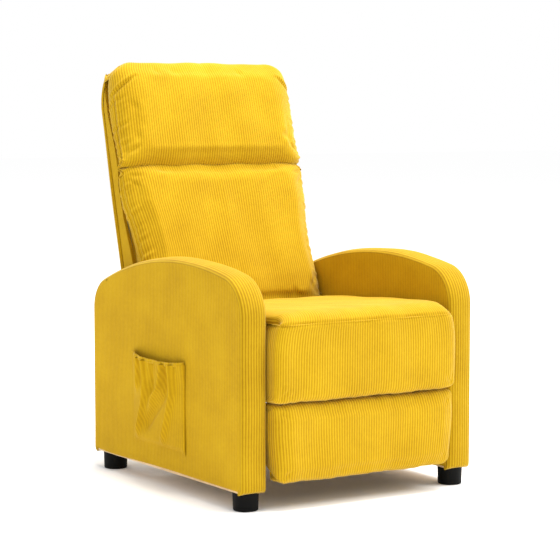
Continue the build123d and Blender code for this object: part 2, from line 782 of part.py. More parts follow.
with BuildPart() as drive_tube:
    with BuildSketch(Plane.YZ):
        with Locations(drive_pivot):
            Circle(drive_tube_radius)
            Circle(drive_tube_radius - drive_tube_wall, mode=Mode.SUBTRACT)
    extrude(amount=layer_x(DRIVE), both=True)
finish(drive_tube, "drive_tube")

# ---- legrest -------------------------------------------------------------------------------
legrest_front = seat_front + legrest_setback
legrest_top = seat_border_bottom - legrest_gap
pad_rear = legrest_front + legrest_pad_thickness
board_rear = pad_rear + legrest_board_thickness
board_margin = 22.0
legrest_middle = (legrest_top + legrest_bottom) / 2
board_half_height = (legrest_top - legrest_bottom) / 2 - board_margin
screw_places = [(x, z) for x in (layer_x(LEGREST) - bracket_flange / 2,)
                for z in (legrest_middle - screw_low, legrest_middle + screw_high)]

with BuildPart() as legrest_board:
    with BuildSketch(Plane.XZ.offset(-board_rear)):
        with Locations((0, legrest_middle)):
            Rectangle(2 * (seat_half - board_margin), 2 * board_half_height)
    extrude(amount=legrest_board_thickness)
finish(legrest_board, "legrest_board")

with BuildPart() as legrest_pad:
    with BuildSketch(Plane.XZ.offset(-pad_rear + soft_gap)):
        with Locations((0, legrest_middle)):
            RectangleRounded(2 * seat_half, legrest_top - legrest_bottom, legrest_corner_rounding)
    extrude(amount=legrest_pad_thickness - soft_gap)
    fillet(legrest_pad.faces().sort_by(Axis.Y)[0].edges(), radius=legrest_front_rounding)
finish(legrest_pad, "legrest_pad")

flange_reach = board_half_height - bracket_pad
with BuildPart() as legrest_brackets:
    with BuildSketch(Plane.YZ.offset(layer_x(LEGREST))):
        with Locations(board_pivot, board_link_end):
            Circle(legrest_bracket_radius)
        with Locations((board_rear + bracket_pad, legrest_middle - flange_reach / 2),
                       (board_rear + bracket_pad, legrest_middle + flange_reach)):
            Circle(bracket_pad)
        make_hull()
        with Locations(board_pivot, board_link_end):
            Circle(pin_hole, mode=Mode.SUBTRACT)
    extrude(amount=plate)
    with BuildSketch(Plane.XZ.offset(-board_rear - plate)):
        with Locations((layer_x(LEGREST) - bracket_flange / 2, legrest_middle + flange_reach / 4)):
            Rectangle(bracket_flange, 1.5 * flange_reach)
        with Locations(*screw_places):
            Circle(bolt_hole, mode=Mode.SUBTRACT)
    extrude(amount=plate)
    mirror(about=Plane.YZ)
finish(legrest_brackets, "legrest_brackets")
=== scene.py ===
# Looks of the corduroy recliner armchair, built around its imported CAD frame. Metres, +Z up.
#
# Every padded piece is a grid: its rows run along the fabric's ribs (the wales) and its columns
# run across them, so the wales are real ridges in the mesh. The cushions are first blown up
# coarsely by cloth simulation, and the fine grid takes over that swelling.
import json
import math

import bpy
import numpy as np
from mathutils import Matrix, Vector


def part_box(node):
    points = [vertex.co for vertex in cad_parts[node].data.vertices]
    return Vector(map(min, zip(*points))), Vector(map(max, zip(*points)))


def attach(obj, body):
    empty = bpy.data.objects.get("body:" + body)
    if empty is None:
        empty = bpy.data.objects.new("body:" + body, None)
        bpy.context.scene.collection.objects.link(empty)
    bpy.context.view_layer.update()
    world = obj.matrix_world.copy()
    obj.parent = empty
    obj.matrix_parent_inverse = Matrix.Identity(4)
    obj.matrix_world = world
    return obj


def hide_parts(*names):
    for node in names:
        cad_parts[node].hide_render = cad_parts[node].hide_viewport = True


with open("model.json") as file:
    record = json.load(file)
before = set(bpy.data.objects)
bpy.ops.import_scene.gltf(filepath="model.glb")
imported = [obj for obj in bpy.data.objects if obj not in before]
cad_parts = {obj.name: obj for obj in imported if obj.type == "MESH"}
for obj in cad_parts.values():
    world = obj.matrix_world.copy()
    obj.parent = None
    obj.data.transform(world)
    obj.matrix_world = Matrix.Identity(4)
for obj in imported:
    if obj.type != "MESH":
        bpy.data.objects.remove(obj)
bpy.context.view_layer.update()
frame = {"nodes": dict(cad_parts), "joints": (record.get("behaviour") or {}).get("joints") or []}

SIDES = (("right", -1), ("left", 1))

# ---- cloth --------------------
WALE = 0.0069           # from one rib of the corduroy to the next
WALE_HEIGHT = 0.00036   # half the depth from a rib to its groove
STEPS_PER_WALE = 4      # mesh columns per rib
ROW = 0.0035            # length of a mesh cell along the wales
PANEL_ROW = 0.010       # the same on the flat panels and the covers of the back
COARSE_STEP = 0.016     # mesh cell of the simulated shapes
SEAM_STEP = 0.002       # length of a mesh cell beside a seam
SEAM_REACH = 0.014      # how far from a seam the cells are that short
LEAST_STEP = 0.0012     # rows closer than this are left out


# ---- small helpers --------------------
def ease(value, start, end):
    """0 before start, 1 after end, and smooth between them."""
    t = np.clip((np.asarray(value, float) - start) / (end - start), 0, 1)
    return t * t * (3 - 2 * t)


def hump(value, middle, width):
    """A smooth ridge of height 1 about middle."""
    return np.exp(-(((np.asarray(value, float) - middle) / width) ** 2))


def ripple(value, seed, lengths):
    """A smooth uneven wave: a few sines of unrelated lengths, between -1 and 1."""
    total = np.zeros_like(np.asarray(value, float))
    for order, length in enumerate(lengths):
        total += np.sin(2 * math.pi * np.asarray(value) / length + seed * 1.7 + order * 2.3)
    return total / len(lengths)


def arc(centre, radius, start, end, step=0.004):
    """Points of a circular arc in a side view, from one angle to another, in degrees."""
    count = max(3, int(abs(math.radians(end - start)) * radius / step))
    angles = np.radians(np.linspace(start, end, count))
    return np.column_stack([centre[0] + radius * np.cos(angles), centre[1] + radius * np.sin(angles)])


def at_places(points, places):
    """The points at given distances along a line."""
    points = np.asarray(points, float)
    lengths = np.concatenate([[0], np.cumsum(np.linalg.norm(np.diff(points, axis=0), axis=1))])
    return np.column_stack([np.interp(places, lengths, points[:, k]) for k in range(points.shape[1])])


def line_length(points):
    """Length of a line through points."""
    return float(np.linalg.norm(np.diff(np.asarray(points, float), axis=0), axis=1).sum())


def resample(points, count):
    """The same line with evenly spaced points, and how far along it each of them is."""
    places = np.linspace(0, line_length(points), count)
    return at_places(points, places), places


def wale_map(across, along):
    """The wale coordinates of a grid's points, one row of the grid after another."""
    return np.stack(np.broadcast_arrays(across[None, :], along[:, None]), 2).reshape(-1, 2)


def quads(cell):
    """The faces between a grid of point numbers."""
    corners = [cell[:-1, :-1], cell[:-1, 1:], cell[1:, 1:], cell[1:, :-1]]
    return np.stack(corners, 2).reshape(-1, 4).tolist()


def row_places(length, step, seams=()):
    """Distances from 0 to length, a step apart, and closer beside each seam."""
    places = list(np.linspace(0, length, int(length / step) + 1))
    for seam in seams:
        at = length if seam is None else seam
        places += [p for p in at + np.arange(-SEAM_REACH, SEAM_REACH + 0.0001, SEAM_STEP) if 0 < p < length]
    places = np.unique(np.round(places, 5))
    kept = [places[0]]
    for place in places[1:-1]:
        if min(place - kept[-1], places[-1] - place) > LEAST_STEP:
            kept.append(place)
    return np.array(kept + [places[-1]])


def smooth(points, passes):
    """Rounds a line's corners, with its ends kept."""
    points = points.copy()
    for _ in range(passes):
        points[1:-1] = (points[:-2] + 2 * points[1:-1] + points[2:]) / 4
    return points


def grid_normals(grid):
    """Unit normals of a grid of points."""
    along = np.gradient(grid, axis=0)
    across = np.gradient(grid, axis=1)
    normals = np.cross(across, along)
    lengths = np.linalg.norm(normals, axis=2, keepdims=True)
    return normals / np.maximum(lengths, 1e-12)


def spread(field, row_places, column_places):
    """A coarse grid of values made finer by smooth interpolation, at fractional rows and columns."""
    def weights(places, count):
        base = np.clip(places.astype(int), 0, count - 2)
        t = (places - base)[:, None]
        near = np.clip(base[:, None] + np.array([-1, 0, 1, 2]), 0, count - 1)
        return near, np.hstack([
            -t / 2 + t ** 2 - t ** 3 / 2, 1 - 2.5 * t ** 2 + 1.5 * t ** 3,
            t / 2 + 2 * t ** 2 - 1.5 * t ** 3, -t ** 2 / 2 + t ** 3 / 2,
        ])

    near, blend = weights(row_places, field.shape[0])
    field = np.einsum("rk,rk...->r...", blend, field[near])
    near, blend = weights(column_places, field.shape[1])
    return np.einsum("ck,rck...->rc...", blend, field[:, near])


def crease(across, along, start, end, depth, width, lip=0.0):
    """How far a sewn fold presses a piece in, on both its sides, with a lip above the fold.

    start and end are places on the cloth: distance across the ribs and along them."""
    place = wale_map(np.abs(across), along).reshape(len(along), len(across), 2)
    start, end = np.asarray(start, float), np.asarray(end, float)
    line = end - start
    share = np.clip(((place - start) @ line) / (line @ line), 0, 1)
    offset = place - (start + share[..., None] * line)
    distance = np.linalg.norm(offset, axis=2)
    fade = np.sin(np.clip(share, 0.04, 0.96) * math.pi) ** 0.5
    above = np.sign(offset[..., 1])
    return fade * (-depth * hump(distance, 0, width) + lip * hump(distance * above, 1.6 * width, width))


def puckers(across, along, corner, pulls, width=0.005):
    """Short folds that run out of one corner of a cover, each by its reach across, along and depth."""
    total = 0
    for reach_across, reach_along, depth in pulls:
        end = (corner[0] + reach_across, corner[1] + reach_along)
        total = total + crease(across, along, corner, end, depth, width)
    return total


# ---- mesh building --------------------
SHARP = math.radians(58)        # faces at a sharper angle than this aren't shaded as one


def to_object(name, points, faces, wales):
    """A smooth-shaded mesh with a UV map that holds metres across and along the wales."""
    mesh = bpy.data.meshes.new(name)
    mesh.from_pydata([tuple(p) for p in points], [], faces)
    layer = mesh.uv_layers.new(name="wale")
    corners = np.zeros(len(mesh.loops), np.int32)
    mesh.loops.foreach_get("vertex_index", corners)
    layer.data.foreach_set("uv", np.asarray(wales, np.float32)[corners].ravel())
    mesh.polygons.foreach_set("use_smooth", np.ones(len(mesh.polygons), bool))
    mesh.update()
    mesh.set_sharp_from_angle(angle=SHARP)
    piece = bpy.data.objects.new(name, mesh)
    bpy.context.scene.collection.objects.link(piece)
    return piece


def closed_piece(name, front, back, across, along):
    """A closed mesh: a fine front grid, and a plain back of long faces through the back rows.

    front is a grid of points, back has a few rows of as many points, across and along are the
    wale coordinates of the front's columns and rows."""
    rows, columns = front.shape[:2]
    points = [front.reshape(-1, 3)]
    wales = [wale_map(across, along)]
    inner = np.asarray(back, float).reshape(len(back), columns, 3)
    if len(back):
        points.append(inner.reshape(-1, 3))
        share = (np.arange(len(back)) + 1) / (len(back) + 1)
        level = along[0] + share * (along[-1] - along[0])
        wales.append(wale_map(across, level))
    start = rows * columns
    cell = np.arange(start).reshape(rows, columns)
    rear = np.arange(start, start + len(back) * columns).reshape(len(back), columns)
    faces = quads(cell)
    ladder = [cell[0]] + list(rear) + [cell[-1]]
    for low, high in zip(ladder[:-1], ladder[1:]):
        for j in range(1, columns - 2):
            faces.append([low[j], high[j], high[j + 1], low[j + 1]])
    near = [int(i) for i in cell[:, 0]] + [int(r[1]) for r in reversed(ladder)]
    far = [int(i) for i in cell[::-1, -1]] + [int(r[-2]) for r in ladder]
    faces += [near, far]
    return to_object(name, np.concatenate(points), faces, np.concatenate(wales))


def thick_panel(name, front, across, along, inward):
    """A thin closed skin: a fine front grid and a plain back, set inward by a vector."""
    back = np.stack([front[0] + inward, front[-1] + inward])
    return closed_piece(name, front, back, across, along)


SHRINK = 0.001          # the most a corner may draw in when its cushion is blown up
STEPS = 20              # frames of cloth simulation


def inflate(name, front, back, across, along, cap):
    """Blows a coarse closed shape up by cloth simulation and returns how far each front point moved."""
    rows, columns = front.shape[:2]
    piece = closed_piece(name, front, back, across, along)
    held = piece.vertex_groups.new(name="held")
    numbers = np.arange(rows * columns).reshape(rows, columns)
    border = np.unique(np.concatenate([numbers[0], numbers[-1], numbers[:, 0], numbers[:, -1]])).tolist()
    held.add(border + list(range(rows * columns, len(piece.data.vertices))), 1.0, "REPLACE")
    cloth = piece.modifiers.new("Cloth", "CLOTH")
    cloth.settings.vertex_group_mass = "held"
    cloth.settings.pin_stiffness = 1.0
    cloth.settings.use_pressure = True
    cloth.settings.uniform_pressure_force = PRESSURE
    cloth.settings.effector_weights.gravity = 0.0
    cloth.settings.tension_stiffness = 6
    cloth.settings.compression_stiffness = 6
    cloth.settings.shear_stiffness = 3
    cloth.settings.bending_stiffness = 1.5
    cloth.settings.mass = 0.3
    cloth.point_cache.frame_start = 1
    cloth.point_cache.frame_end = STEPS
    for step in range(1, STEPS + 1):
        bpy.context.scene.frame_set(step)
    shown = piece.evaluated_get(bpy.context.evaluated_depsgraph_get())
    swollen = np.zeros(len(piece.data.vertices) * 3, np.float32)
    shown.data.vertices.foreach_get("co", swollen)
    swollen = swollen.reshape(-1, 3)[:rows * columns].reshape(rows, columns, 3).astype(float)
    bpy.data.objects.remove(piece)
    bpy.context.scene.frame_set(1)
    moved = swollen - front
    normals = grid_normals(front)
    outward = (moved * normals).sum(axis=2, keepdims=True)
    moved = moved + normals * np.maximum(-SHRINK - outward, 0)
    length = np.linalg.norm(moved, axis=2, keepdims=True)
    return moved * np.minimum(1, cap / np.maximum(length, 1e-9))


# ---- padded blocks: a rounded front sheet over a plain back --------------------
class Block:
    """A cushion seen from the side as a front line and a back line, stretched over the width."""

    def __init__(self, front_line, back_line, radii, half_width, gusset, tuck=0.0, side_round=None,
                 side_line=None):
        self.front_line = front_line
        self.back_line = back_line
        self.side_line = side_line or back_line     # where the sides end at the back
        self.radii = radii              # (share along the front line, edge radius) pairs
        self.half_width = half_width    # function of the line's points
        self.gusset = gusset            # whether the side between edge and back shows
        self.tuck = tuck                # how far the side pulls in at the back
        self.edge = side_round or max(radius for _, radius in radii)

    def sheet(self, along, column_step, to_world):
        """The front grid, the back rows, and the wale coordinates, for rows at places along the line."""
        line = at_places(self.front_line, along)
        tangents = np.gradient(line, axis=0)
        tangents /= np.linalg.norm(tangents, axis=1, keepdims=True)
        inward = np.column_stack([tangents[:, 1], -tangents[:, 0]])
        shares = [share for share, _ in self.radii]
        radius = np.interp(along / along[-1], shares, [r for _, r in self.radii])
        half = self.half_width(line)
        reach = half.max() - self.edge + self.edge * math.pi / 2
        count = int(round(2 * reach / column_step)) + 1
        across = np.linspace(-reach, reach, count)
        turn = np.clip((np.abs(across) - (half.max() - self.edge)) / self.edge, 0, math.pi / 2)
        x = np.sign(across) * np.where(turn > 0, half.max() - self.edge + self.edge * np.sin(turn),
                                       np.abs(across))
        inset = (1 - np.cos(turn))[None, :] * radius[:, None]
        side = line[:, None, :] + inward[:, None, :] * inset[..., None]
        x_grid = x[None, :] * (half / half.max())[:, None]
        back = at_places(self.side_line, along / along[-1] * line_length(self.side_line))
        depth = np.linalg.norm(side[:, 0] - back, axis=1).mean()
        cells = max(1, int(round(depth / column_step))) if self.gusset else 1
        shares = (np.arange(cells) / cells)[None, :, None]
        strip = back[:, None, :] * (1 - shares) + side[:, :1, :] * shares
        full = np.concatenate([strip, side, strip[:, ::-1]], axis=1)
        ends = half[:, None] - self.tuck * (1 - np.arange(cells) / cells)[None, :] ** 2
        x_full = np.concatenate([-ends, x_grid, ends], axis=1)
        beyond = reach + depth * (1 - np.arange(cells) / cells)
        across_full = np.concatenate([-beyond, across, beyond[::-1]])
        rear = [self.back_row(corner, x_full, along) for corner in range(1, len(self.back_line) - 1)]
        rear = np.array(rear).reshape(-1, x_full.shape[1], 3)
        return to_world(np.dstack([x_full, full])), to_world(rear), across_full, along

    def back_row(self, corner, x_full, along):
        """A row of points across the back at a corner of the back line, as wide as the front is there."""
        share = line_length(self.back_line[:corner + 1]) / line_length(self.back_line)
        row = np.abs(along / along[-1] - share).argmin()
        depth, height = self.back_line[corner]
        count = x_full.shape[1]
        return np.column_stack([x_full[row], np.full(count, depth), np.full(count, height)])


# ---- where the leaning back is --------------------
LEAN = math.radians(15)
hinge = next(joint for joint in frame["joints"] if joint["name"] == "back_recline")["pos_m"]


def leaning(grid):
    """Points given as x, depth behind and height above the back's hinge, in the row frame."""
    depth, height = grid[..., 1], grid[..., 2]
    y = hinge[1] + depth * math.cos(LEAN) + height * math.sin(LEAN)
    z = hinge[2] - depth * math.sin(LEAN) + height * math.cos(LEAN)
    return np.stack([grid[..., 0], y, z], axis=-1)


def upright(grid):
    """Points that are in the row frame already."""
    return grid


def lean_box(node):
    """Lowest and highest x, depth and height of a CAD node in the leaning back's own frame."""
    points = np.array([v.co for v in frame["nodes"][node].data.vertices], float)
    away = points - np.array(hinge)
    depth = away[:, 1] * math.cos(LEAN) - away[:, 2] * math.sin(LEAN)
    height = away[:, 1] * math.sin(LEAN) + away[:, 2] * math.cos(LEAN)
    local = np.column_stack([points[:, 0], depth, height])
    return local.min(axis=0), local.max(axis=0)


# ---- materials --------------------
def node_tree(name):
    """A new material, its nodes, its links and its shader."""
    material = bpy.data.materials.new(name)
    material.use_nodes = True
    tree = material.node_tree
    return material, tree, tree.nodes["Principled BSDF"]


def math_node(tree, operation, first, second=None):
    """A maths node on two inputs, each a socket or a number."""
    node = tree.nodes.new("ShaderNodeMath")
    node.operation = operation
    for socket, value in zip(node.inputs, (first, second)):
        if value is None:
            continue
        if isinstance(value, (int, float)):
            socket.default_value = value
        else:
            tree.links.new(value, socket)
    return node.outputs[0]


def noise(tree, vector, scale, detail=2.0):
    """The value of a noise texture."""
    node = tree.nodes.new("ShaderNodeTexNoise")
    node.inputs["Scale"].default_value = scale
    node.inputs["Detail"].default_value = detail
    tree.links.new(vector, node.inputs["Vector"])
    return node.outputs["Fac"]


def uneven(tree, value, gain):
    """A noise value's swing about its middle, times a gain."""
    return math_node(tree, "MULTIPLY", math_node(tree, "SUBTRACT", value, 0.5), gain)


def ramp(tree, value, stops):
    """A colour ramp through (place, colour) stops."""
    node = tree.nodes.new("ShaderNodeValToRGB")
    elements = node.color_ramp.elements
    while len(elements) < len(stops):
        elements.new(0.5)
    for element, (place, colour) in zip(elements, stops):
        element.position = place
        element.color = (*colour, 1.0)
    tree.links.new(value, node.inputs["Fac"])
    return node.outputs["Color"]


def bump(tree, height, distance, strength=1.0, before=None):
    """A bump node's normal."""
    node = tree.nodes.new("ShaderNodeBump")
    node.inputs["Distance"].default_value = distance
    node.inputs["Strength"].default_value = strength
    tree.links.new(height, node.inputs["Height"])
    if before is not None:
        tree.links.new(before, node.inputs["Normal"])
    return node.outputs["Normal"]


def surface(tree, shader, level, stops, height, distance, strength):
    """Colours a shader along a ramp and gives it relief."""
    tree.links.new(ramp(tree, level, stops), shader.inputs["Base Color"])
    tree.links.new(bump(tree, height, distance, strength), shader.inputs["Normal"])


def corduroy(name, groove_shade, rib, tip_highlight, groove_shade_contrast=1.0, sheen=0.35):
    """Ribbed cotton pile: painted shade in the grooves, painted highlight on rib tops, brushed patches."""
    material, tree, shader = node_tree(name)
    uv = tree.nodes.new("ShaderNodeUVMap")
    uv.uv_map = "wale"
    place = tree.nodes.new("ShaderNodeTexCoord").outputs["Object"]
    split = tree.nodes.new("ShaderNodeSeparateXYZ")
    tree.links.new(uv.outputs["UV"], split.inputs[0])
    phase = math_node(tree, "MULTIPLY", split.outputs["X"], 2 * math.pi / WALE)
    wave = math_node(tree, "COSINE", phase)
    # The rib wave paints the grooves darker as painted shade and the rib tops lighter as painted highlight.
    half = math_node(tree, "MULTIPLY", wave, 0.5 * groove_shade_contrast)
    fibres = noise(tree, place, 900.0, 3.0)
    worn = uneven(tree, noise(tree, place, 11.0, 4.0), 0.55)
    fuzz = uneven(tree, fibres, 0.25)
    streak = uneven(tree, noise(tree, place, 120.0, 2.0), 0.25)
    level = math_node(tree, "ADD", math_node(tree, "ADD", half, 0.5), worn)
    level = math_node(tree, "ADD", math_node(tree, "ADD", level, fuzz), streak)
    colour = ramp(tree, level, [(0.0, groove_shade), (0.55, rib), (1.0, tip_highlight)])
    tree.links.new(colour, shader.inputs["Base Color"])
    rough = math_node(tree, "ADD", math_node(tree, "MULTIPLY", fibres, 0.15), 0.80)
    tree.links.new(rough, shader.inputs["Roughness"])
    ribs = bump(tree, wave, WALE_HEIGHT * 0.5, 0.4)
    tree.links.new(bump(tree, fibres, 0.0006, 0.5, ribs), shader.inputs["Normal"])
    shader.inputs["Specular IOR Level"].default_value = 0.15
    shader.inputs["Sheen Weight"].default_value = sheen
    shader.inputs["Sheen Roughness"].default_value = 0.4
    shader.inputs["Sheen Tint"].default_value = (1.0, 0.86, 0.45, 1.0)
    return material


def wood(name, dark, light, rings=28.0):
    """Sawn softwood or birch ply, with grain along the longest way."""
    material, tree, shader = node_tree(name)
    place = tree.nodes.new("ShaderNodeTexCoord").outputs["Object"]
    stretch = tree.nodes.new("ShaderNodeMapping")
    stretch.inputs["Scale"].default_value = (1.0, 0.25, 0.25)
    tree.links.new(place, stretch.inputs["Vector"])
    rings_value = noise(tree, stretch.outputs[0], rings, 5.0)
    pores = noise(tree, place, 300.0, 2.0)
    level = math_node(tree, "ADD", rings_value, math_node(tree, "MULTIPLY", pores, 0.15))
    surface(tree, shader, level, [(0.35, dark), (0.75, light)], level, 0.0006, 0.5)
    shader.inputs["Roughness"].default_value = 0.7
    return material


def metal(name, colour, roughness, streak=60.0):
    """Plated or rolled steel with fine scratches and dulled patches."""
    material, tree, shader = node_tree(name)
    place = tree.nodes.new("ShaderNodeTexCoord").outputs["Object"]
    patches = noise(tree, place, streak, 4.0)
    scratches = noise(tree, place, 800.0, 2.0)
    darker = tuple(channel * 0.7 for channel in colour)
    surface(tree, shader, patches, [(0.3, darker), (0.7, colour)], scratches, 0.0002, 0.3)
    dull = math_node(tree, "MULTIPLY", patches, 0.25)
    tree.links.new(math_node(tree, "ADD", dull, roughness), shader.inputs["Roughness"])
    shader.inputs["Metallic"].default_value = 1.0
    return material


def plastic(name, colour, grain=420.0, roughness=0.42):
    """Moulded plastic with a fine spark-eroded grain and slightly dulled patches."""
    material, tree, shader = node_tree(name)
    place = tree.nodes.new("ShaderNodeTexCoord").outputs["Object"]
    fine = noise(tree, place, grain, 2.0)
    patches = noise(tree, place, 25.0, 3.0)
    lighter = tuple(channel * 1.7 + 0.0005 for channel in colour)
    surface(tree, shader, patches, [(0.35, colour), (0.7, lighter)], fine, 0.0003, 0.4)
    dull = math_node(tree, "MULTIPLY", patches, 0.2)
    tree.links.new(math_node(tree, "ADD", dull, roughness), shader.inputs["Roughness"])
    shader.inputs["Specular IOR Level"].default_value = 0.1
    return material


def webbing(name, colour):
    """Woven elastic strap: a fine plain weave."""
    material, tree, shader = node_tree(name)
    place = tree.nodes.new("ShaderNodeTexCoord").outputs["Object"]
    weave = tree.nodes.new("ShaderNodeTexChecker")
    weave.inputs["Scale"].default_value = 500.0
    tree.links.new(place, weave.inputs["Vector"])
    fuzz = noise(tree, place, 250.0, 2.0)
    level = math_node(tree, "ADD", math_node(tree, "MULTIPLY", weave.outputs["Fac"], 0.5),
                      math_node(tree, "MULTIPLY", fuzz, 0.5))
    darker = tuple(channel * 0.45 for channel in colour)
    surface(tree, shader, level, [(0.1, darker), (0.9, colour)], level, 0.0008, 0.6)
    shader.inputs["Roughness"].default_value = 0.85
    return material


# Corduroy colours: the groove colour is painted shade in the grooves, the tip colour a painted highlight on
# rib tops; brushed patches also vary the tone between them at random.
GROOVE_SHADE = (0.29, 0.150, 0.0003)
RIB = (0.465, 0.274, 0.0018)
TIP_HIGHLIGHT = (0.555, 0.355, 0.0090)
SHADE = 0.90            # painted shade: the arms' bands are a little darker than the seat
SHADED = [tuple(SHADE * part for part in colour) for colour in (GROOVE_SHADE, RIB, TIP_HIGHLIGHT)]
BODY_CLOTH = corduroy("corduroy_body", GROOVE_SHADE, RIB, TIP_HIGHLIGHT, groove_shade_contrast=0.60)
# The arms' bands use a darker copy of the same corduroy as painted shade.
SHADED_BAND_CLOTH = corduroy("corduroy_band_shaded", *SHADED, groove_shade_contrast=0.65, sheen=0.22)
PANEL_CLOTH = corduroy("corduroy_panel", GROOVE_SHADE, RIB, TIP_HIGHLIGHT, groove_shade_contrast=0.28, sheen=0.06)
HEM_CLOTH = corduroy("corduroy_hem", GROOVE_SHADE, RIB, TIP_HIGHLIGHT, groove_shade_contrast=0.3, sheen=0.2)
FINISHES = {
    "plywood": wood("birch_plywood", (0.42, 0.26, 0.12), (0.72, 0.53, 0.30), 45.0),
    "pine": wood("sawn_pine", (0.48, 0.27, 0.10), (0.78, 0.56, 0.29)),
    "webbing": webbing("elastic_webbing", (0.06, 0.06, 0.065)),
    "foot_plastic": plastic("black_foot_plastic", (0.0012, 0.0012, 0.0009), roughness=0.5),
    "clip_plastic": plastic("clip_plastic", (0.55, 0.55, 0.52)),
    "zinc_steel": metal("zinc_plated_steel", (0.62, 0.63, 0.65), 0.28),
    "mechanism_steel": metal("mechanism_steel", (0.12, 0.12, 0.13), 0.35),
}


def dress(piece, material, slot, body, *nodes):
    """Gives a new piece its material and puts it in the place of its CAD nodes; the slot is not used."""
    piece.data.materials.clear()
    piece.data.materials.append(material)
    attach(piece, body)
    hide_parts(*nodes)
    return piece


# ---- padded pieces --------------------
def wale_height(across, strength=1.0):
    """The ribs' own height above the fabric's middle surface."""
    return WALE_HEIGHT * strength * np.cos(2 * math.pi * across / WALE)


SIDE_MARGIN = 6         # columns over which sewn details fade out at a piece's rear edges
SEAM_HOLD = 0.024       # how far from a seam the stuffing is held flat
PRESSURE = 4.0          # of the stuffing


def rib_strength(grid):
    """1 where the columns are evenly spaced, less where they crowd together."""
    gap = np.linalg.norm(np.gradient(grid, axis=1), axis=2)
    return np.clip(1.6 * gap / (WALE / STEPS_PER_WALE) - 0.6, 0, 1)


def padded_piece(name, node, body, block, to_world, cap, details, seams=()):
    """Builds a cushion: coarse shape blown up, fine grid, sewn details and ribs."""
    length = line_length(block.front_line)
    coarse = block.sheet(row_places(length, COARSE_STEP), COARSE_STEP, to_world)
    moved = inflate(name + "_coarse", *coarse, cap)
    rows = row_places(length, ROW, seams)
    front, back, across, along = block.sheet(rows, WALE / STEPS_PER_WALE, to_world)
    near_rows = np.interp(along, coarse[3], np.arange(len(coarse[3])))
    near_columns = np.interp(across, coarse[2], np.arange(len(coarse[2])))
    swell = spread(moved, near_rows, near_columns)
    for seam in seams:
        away = np.abs(along - (along[-1] if seam is None else seam))
        swell = swell * ease(away, 0, SEAM_HOLD)[:, None, None]
    front = front + swell
    normals = grid_normals(front)
    columns = np.arange(len(across))
    margin = np.clip(np.minimum(columns, columns[::-1]) / SIDE_MARGIN, 0, 1)[None, :]
    offset = (details(front, across, along) + wale_height(across)[None, :] * rib_strength(front)) * margin
    offset[[0, -1]] = 0
    front = front + normals * offset[..., None]
    piece = closed_piece(name, front, back, across, along)
    dress(piece, BODY_CLOTH, "corduroy", body, node)


def seam_across(along, seam, away):
    """The dip of a seam that runs across the ribs and, away from it on one side, the low welt."""
    return (-0.0016 * hump(along, seam, 0.004) + 0.0006 * hump(along, seam + away, 0.003))[:, None]


# ---- seat and legrest --------------------
EDGE = 0.034            # rounding of the seat's side edges
SWELL = 0.009           # how far stuffing pushes a cover out
SEAT_HALF = 0.2525      # half the seat's width


def rounded_ends(height, low, high, corner):
    """How far a round corner draws a side in, at heights between low and high."""
    near = np.clip(corner - np.minimum(height - low, high - height), 0, corner)
    return corner - np.sqrt(np.maximum(corner ** 2 - near ** 2, 0))


def seat_half(line):
    """Half width of the seat, whose top front corners are drawn in like a cushion's."""
    drawn_in = np.interp(line[:, 1], (0.350, 0.375, 0.400, 0.420, 0.435, 0.450),
                         (0.000, 0.002, 0.006, 0.013, 0.020, 0.028))
    front = 1 - ease(line[:, 0], -0.415, -0.300)
    return SEAT_HALF - drawn_in * front


def soft_line(points, passes=10, step=0.004):
    """A side-view line through rough points with its corners rounded."""
    return smooth(resample(points, int(line_length(points) / step))[0], passes)


def seat_cushion():
    low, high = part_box("seat_cushion")
    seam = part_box("seat_border")[1].z
    front, top = low.y + 0.002, high.z - 0.006
    rear_top = top - 0.026
    lip_rear = low.y + 0.0446
    line = soft_line([
        (front, seam), (front + 0.001, seam + 0.010), (front + 0.010, top - 0.010),
        (front + 0.034, top), (front + 0.12, top - 0.003), (0, rear_top + 0.008),
        (high.y - 0.02, rear_top), (high.y, rear_top - 0.010),
    ])
    back = [(front, seam), (lip_rear, seam), (lip_rear, low.z), (high.y, low.z), tuple(line[-1])]
    radii = [(0, 0.018), (0.12, 0.016), (1, 0.018)]
    block = Block(line, back, radii, seat_half, True, side_round=EDGE, side_line=back[1:])

    def details(grid, across, along):
        depth = along[:, None] / along[-1]
        sit = -0.004 * hump(grid[..., 0], 0, 0.16) * hump(depth, 0.62, 0.25)
        loose = 0.0012 * ripple(across[None, :] * 0.8 + along[:, None] * 0.5, 2, (0.083, 0.131))
        return seam_across(along, 0.0, 0.008) + sit + loose

    padded_piece("seat_cushion_cover", "seat_cushion", "seat", block, upright, SWELL * 0.6, details,
                 seams=(0.0,))


def seat_border():
    low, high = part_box("seat_border")
    front, rear = low.y + 0.003, high.y + 0.022
    line = soft_line([
        (rear, low.z - 0.001), (front + 0.016, low.z - 0.002), (front + 0.003, low.z + 0.008),
        (front, low.z + 0.040), (front - 0.001, high.z - 0.050), (front - 0.001, high.z),
    ], 6)
    line[-1] = (low.y + 0.002, high.z)
    back = [tuple(line[0]), (rear, high.z), tuple(line[-1])]

    def half(line):
        return seat_half(line) - rounded_ends(line[:, 1], low.z - 0.002, 1.0, 0.0015)

    radii = [(0, 0.003), (0.22, 0.012), (0.35, 0.018), (1, 0.018)]
    block = Block(line, back, radii, half, True, side_round=EDGE, side_line=back[:2])

    def details(grid, across, along):
        total = seam_across(along, along[-1], -0.008)
        pulls = ((-0.024, 0.020, 0.0034), (-0.006, 0.032, 0.0024), (-0.040, 0.008, 0.0028))
        total = total + puckers(across, along, (0.245, 0.062), pulls)
        drawn = ripple(across[None, :], 4, (0.041, 0.027)) * hump(along, 0.03, 0.03)[:, None]
        waves = ripple(across[None, :] + 0.3 * along[:, None], 1, (0.11, 0.19))
        return total + 0.0008 * drawn + 0.0012 * waves

    padded_piece("seat_border_cover", "seat_border", "seat", block, upright, SWELL * 0.7, details,
                 seams=(None,))


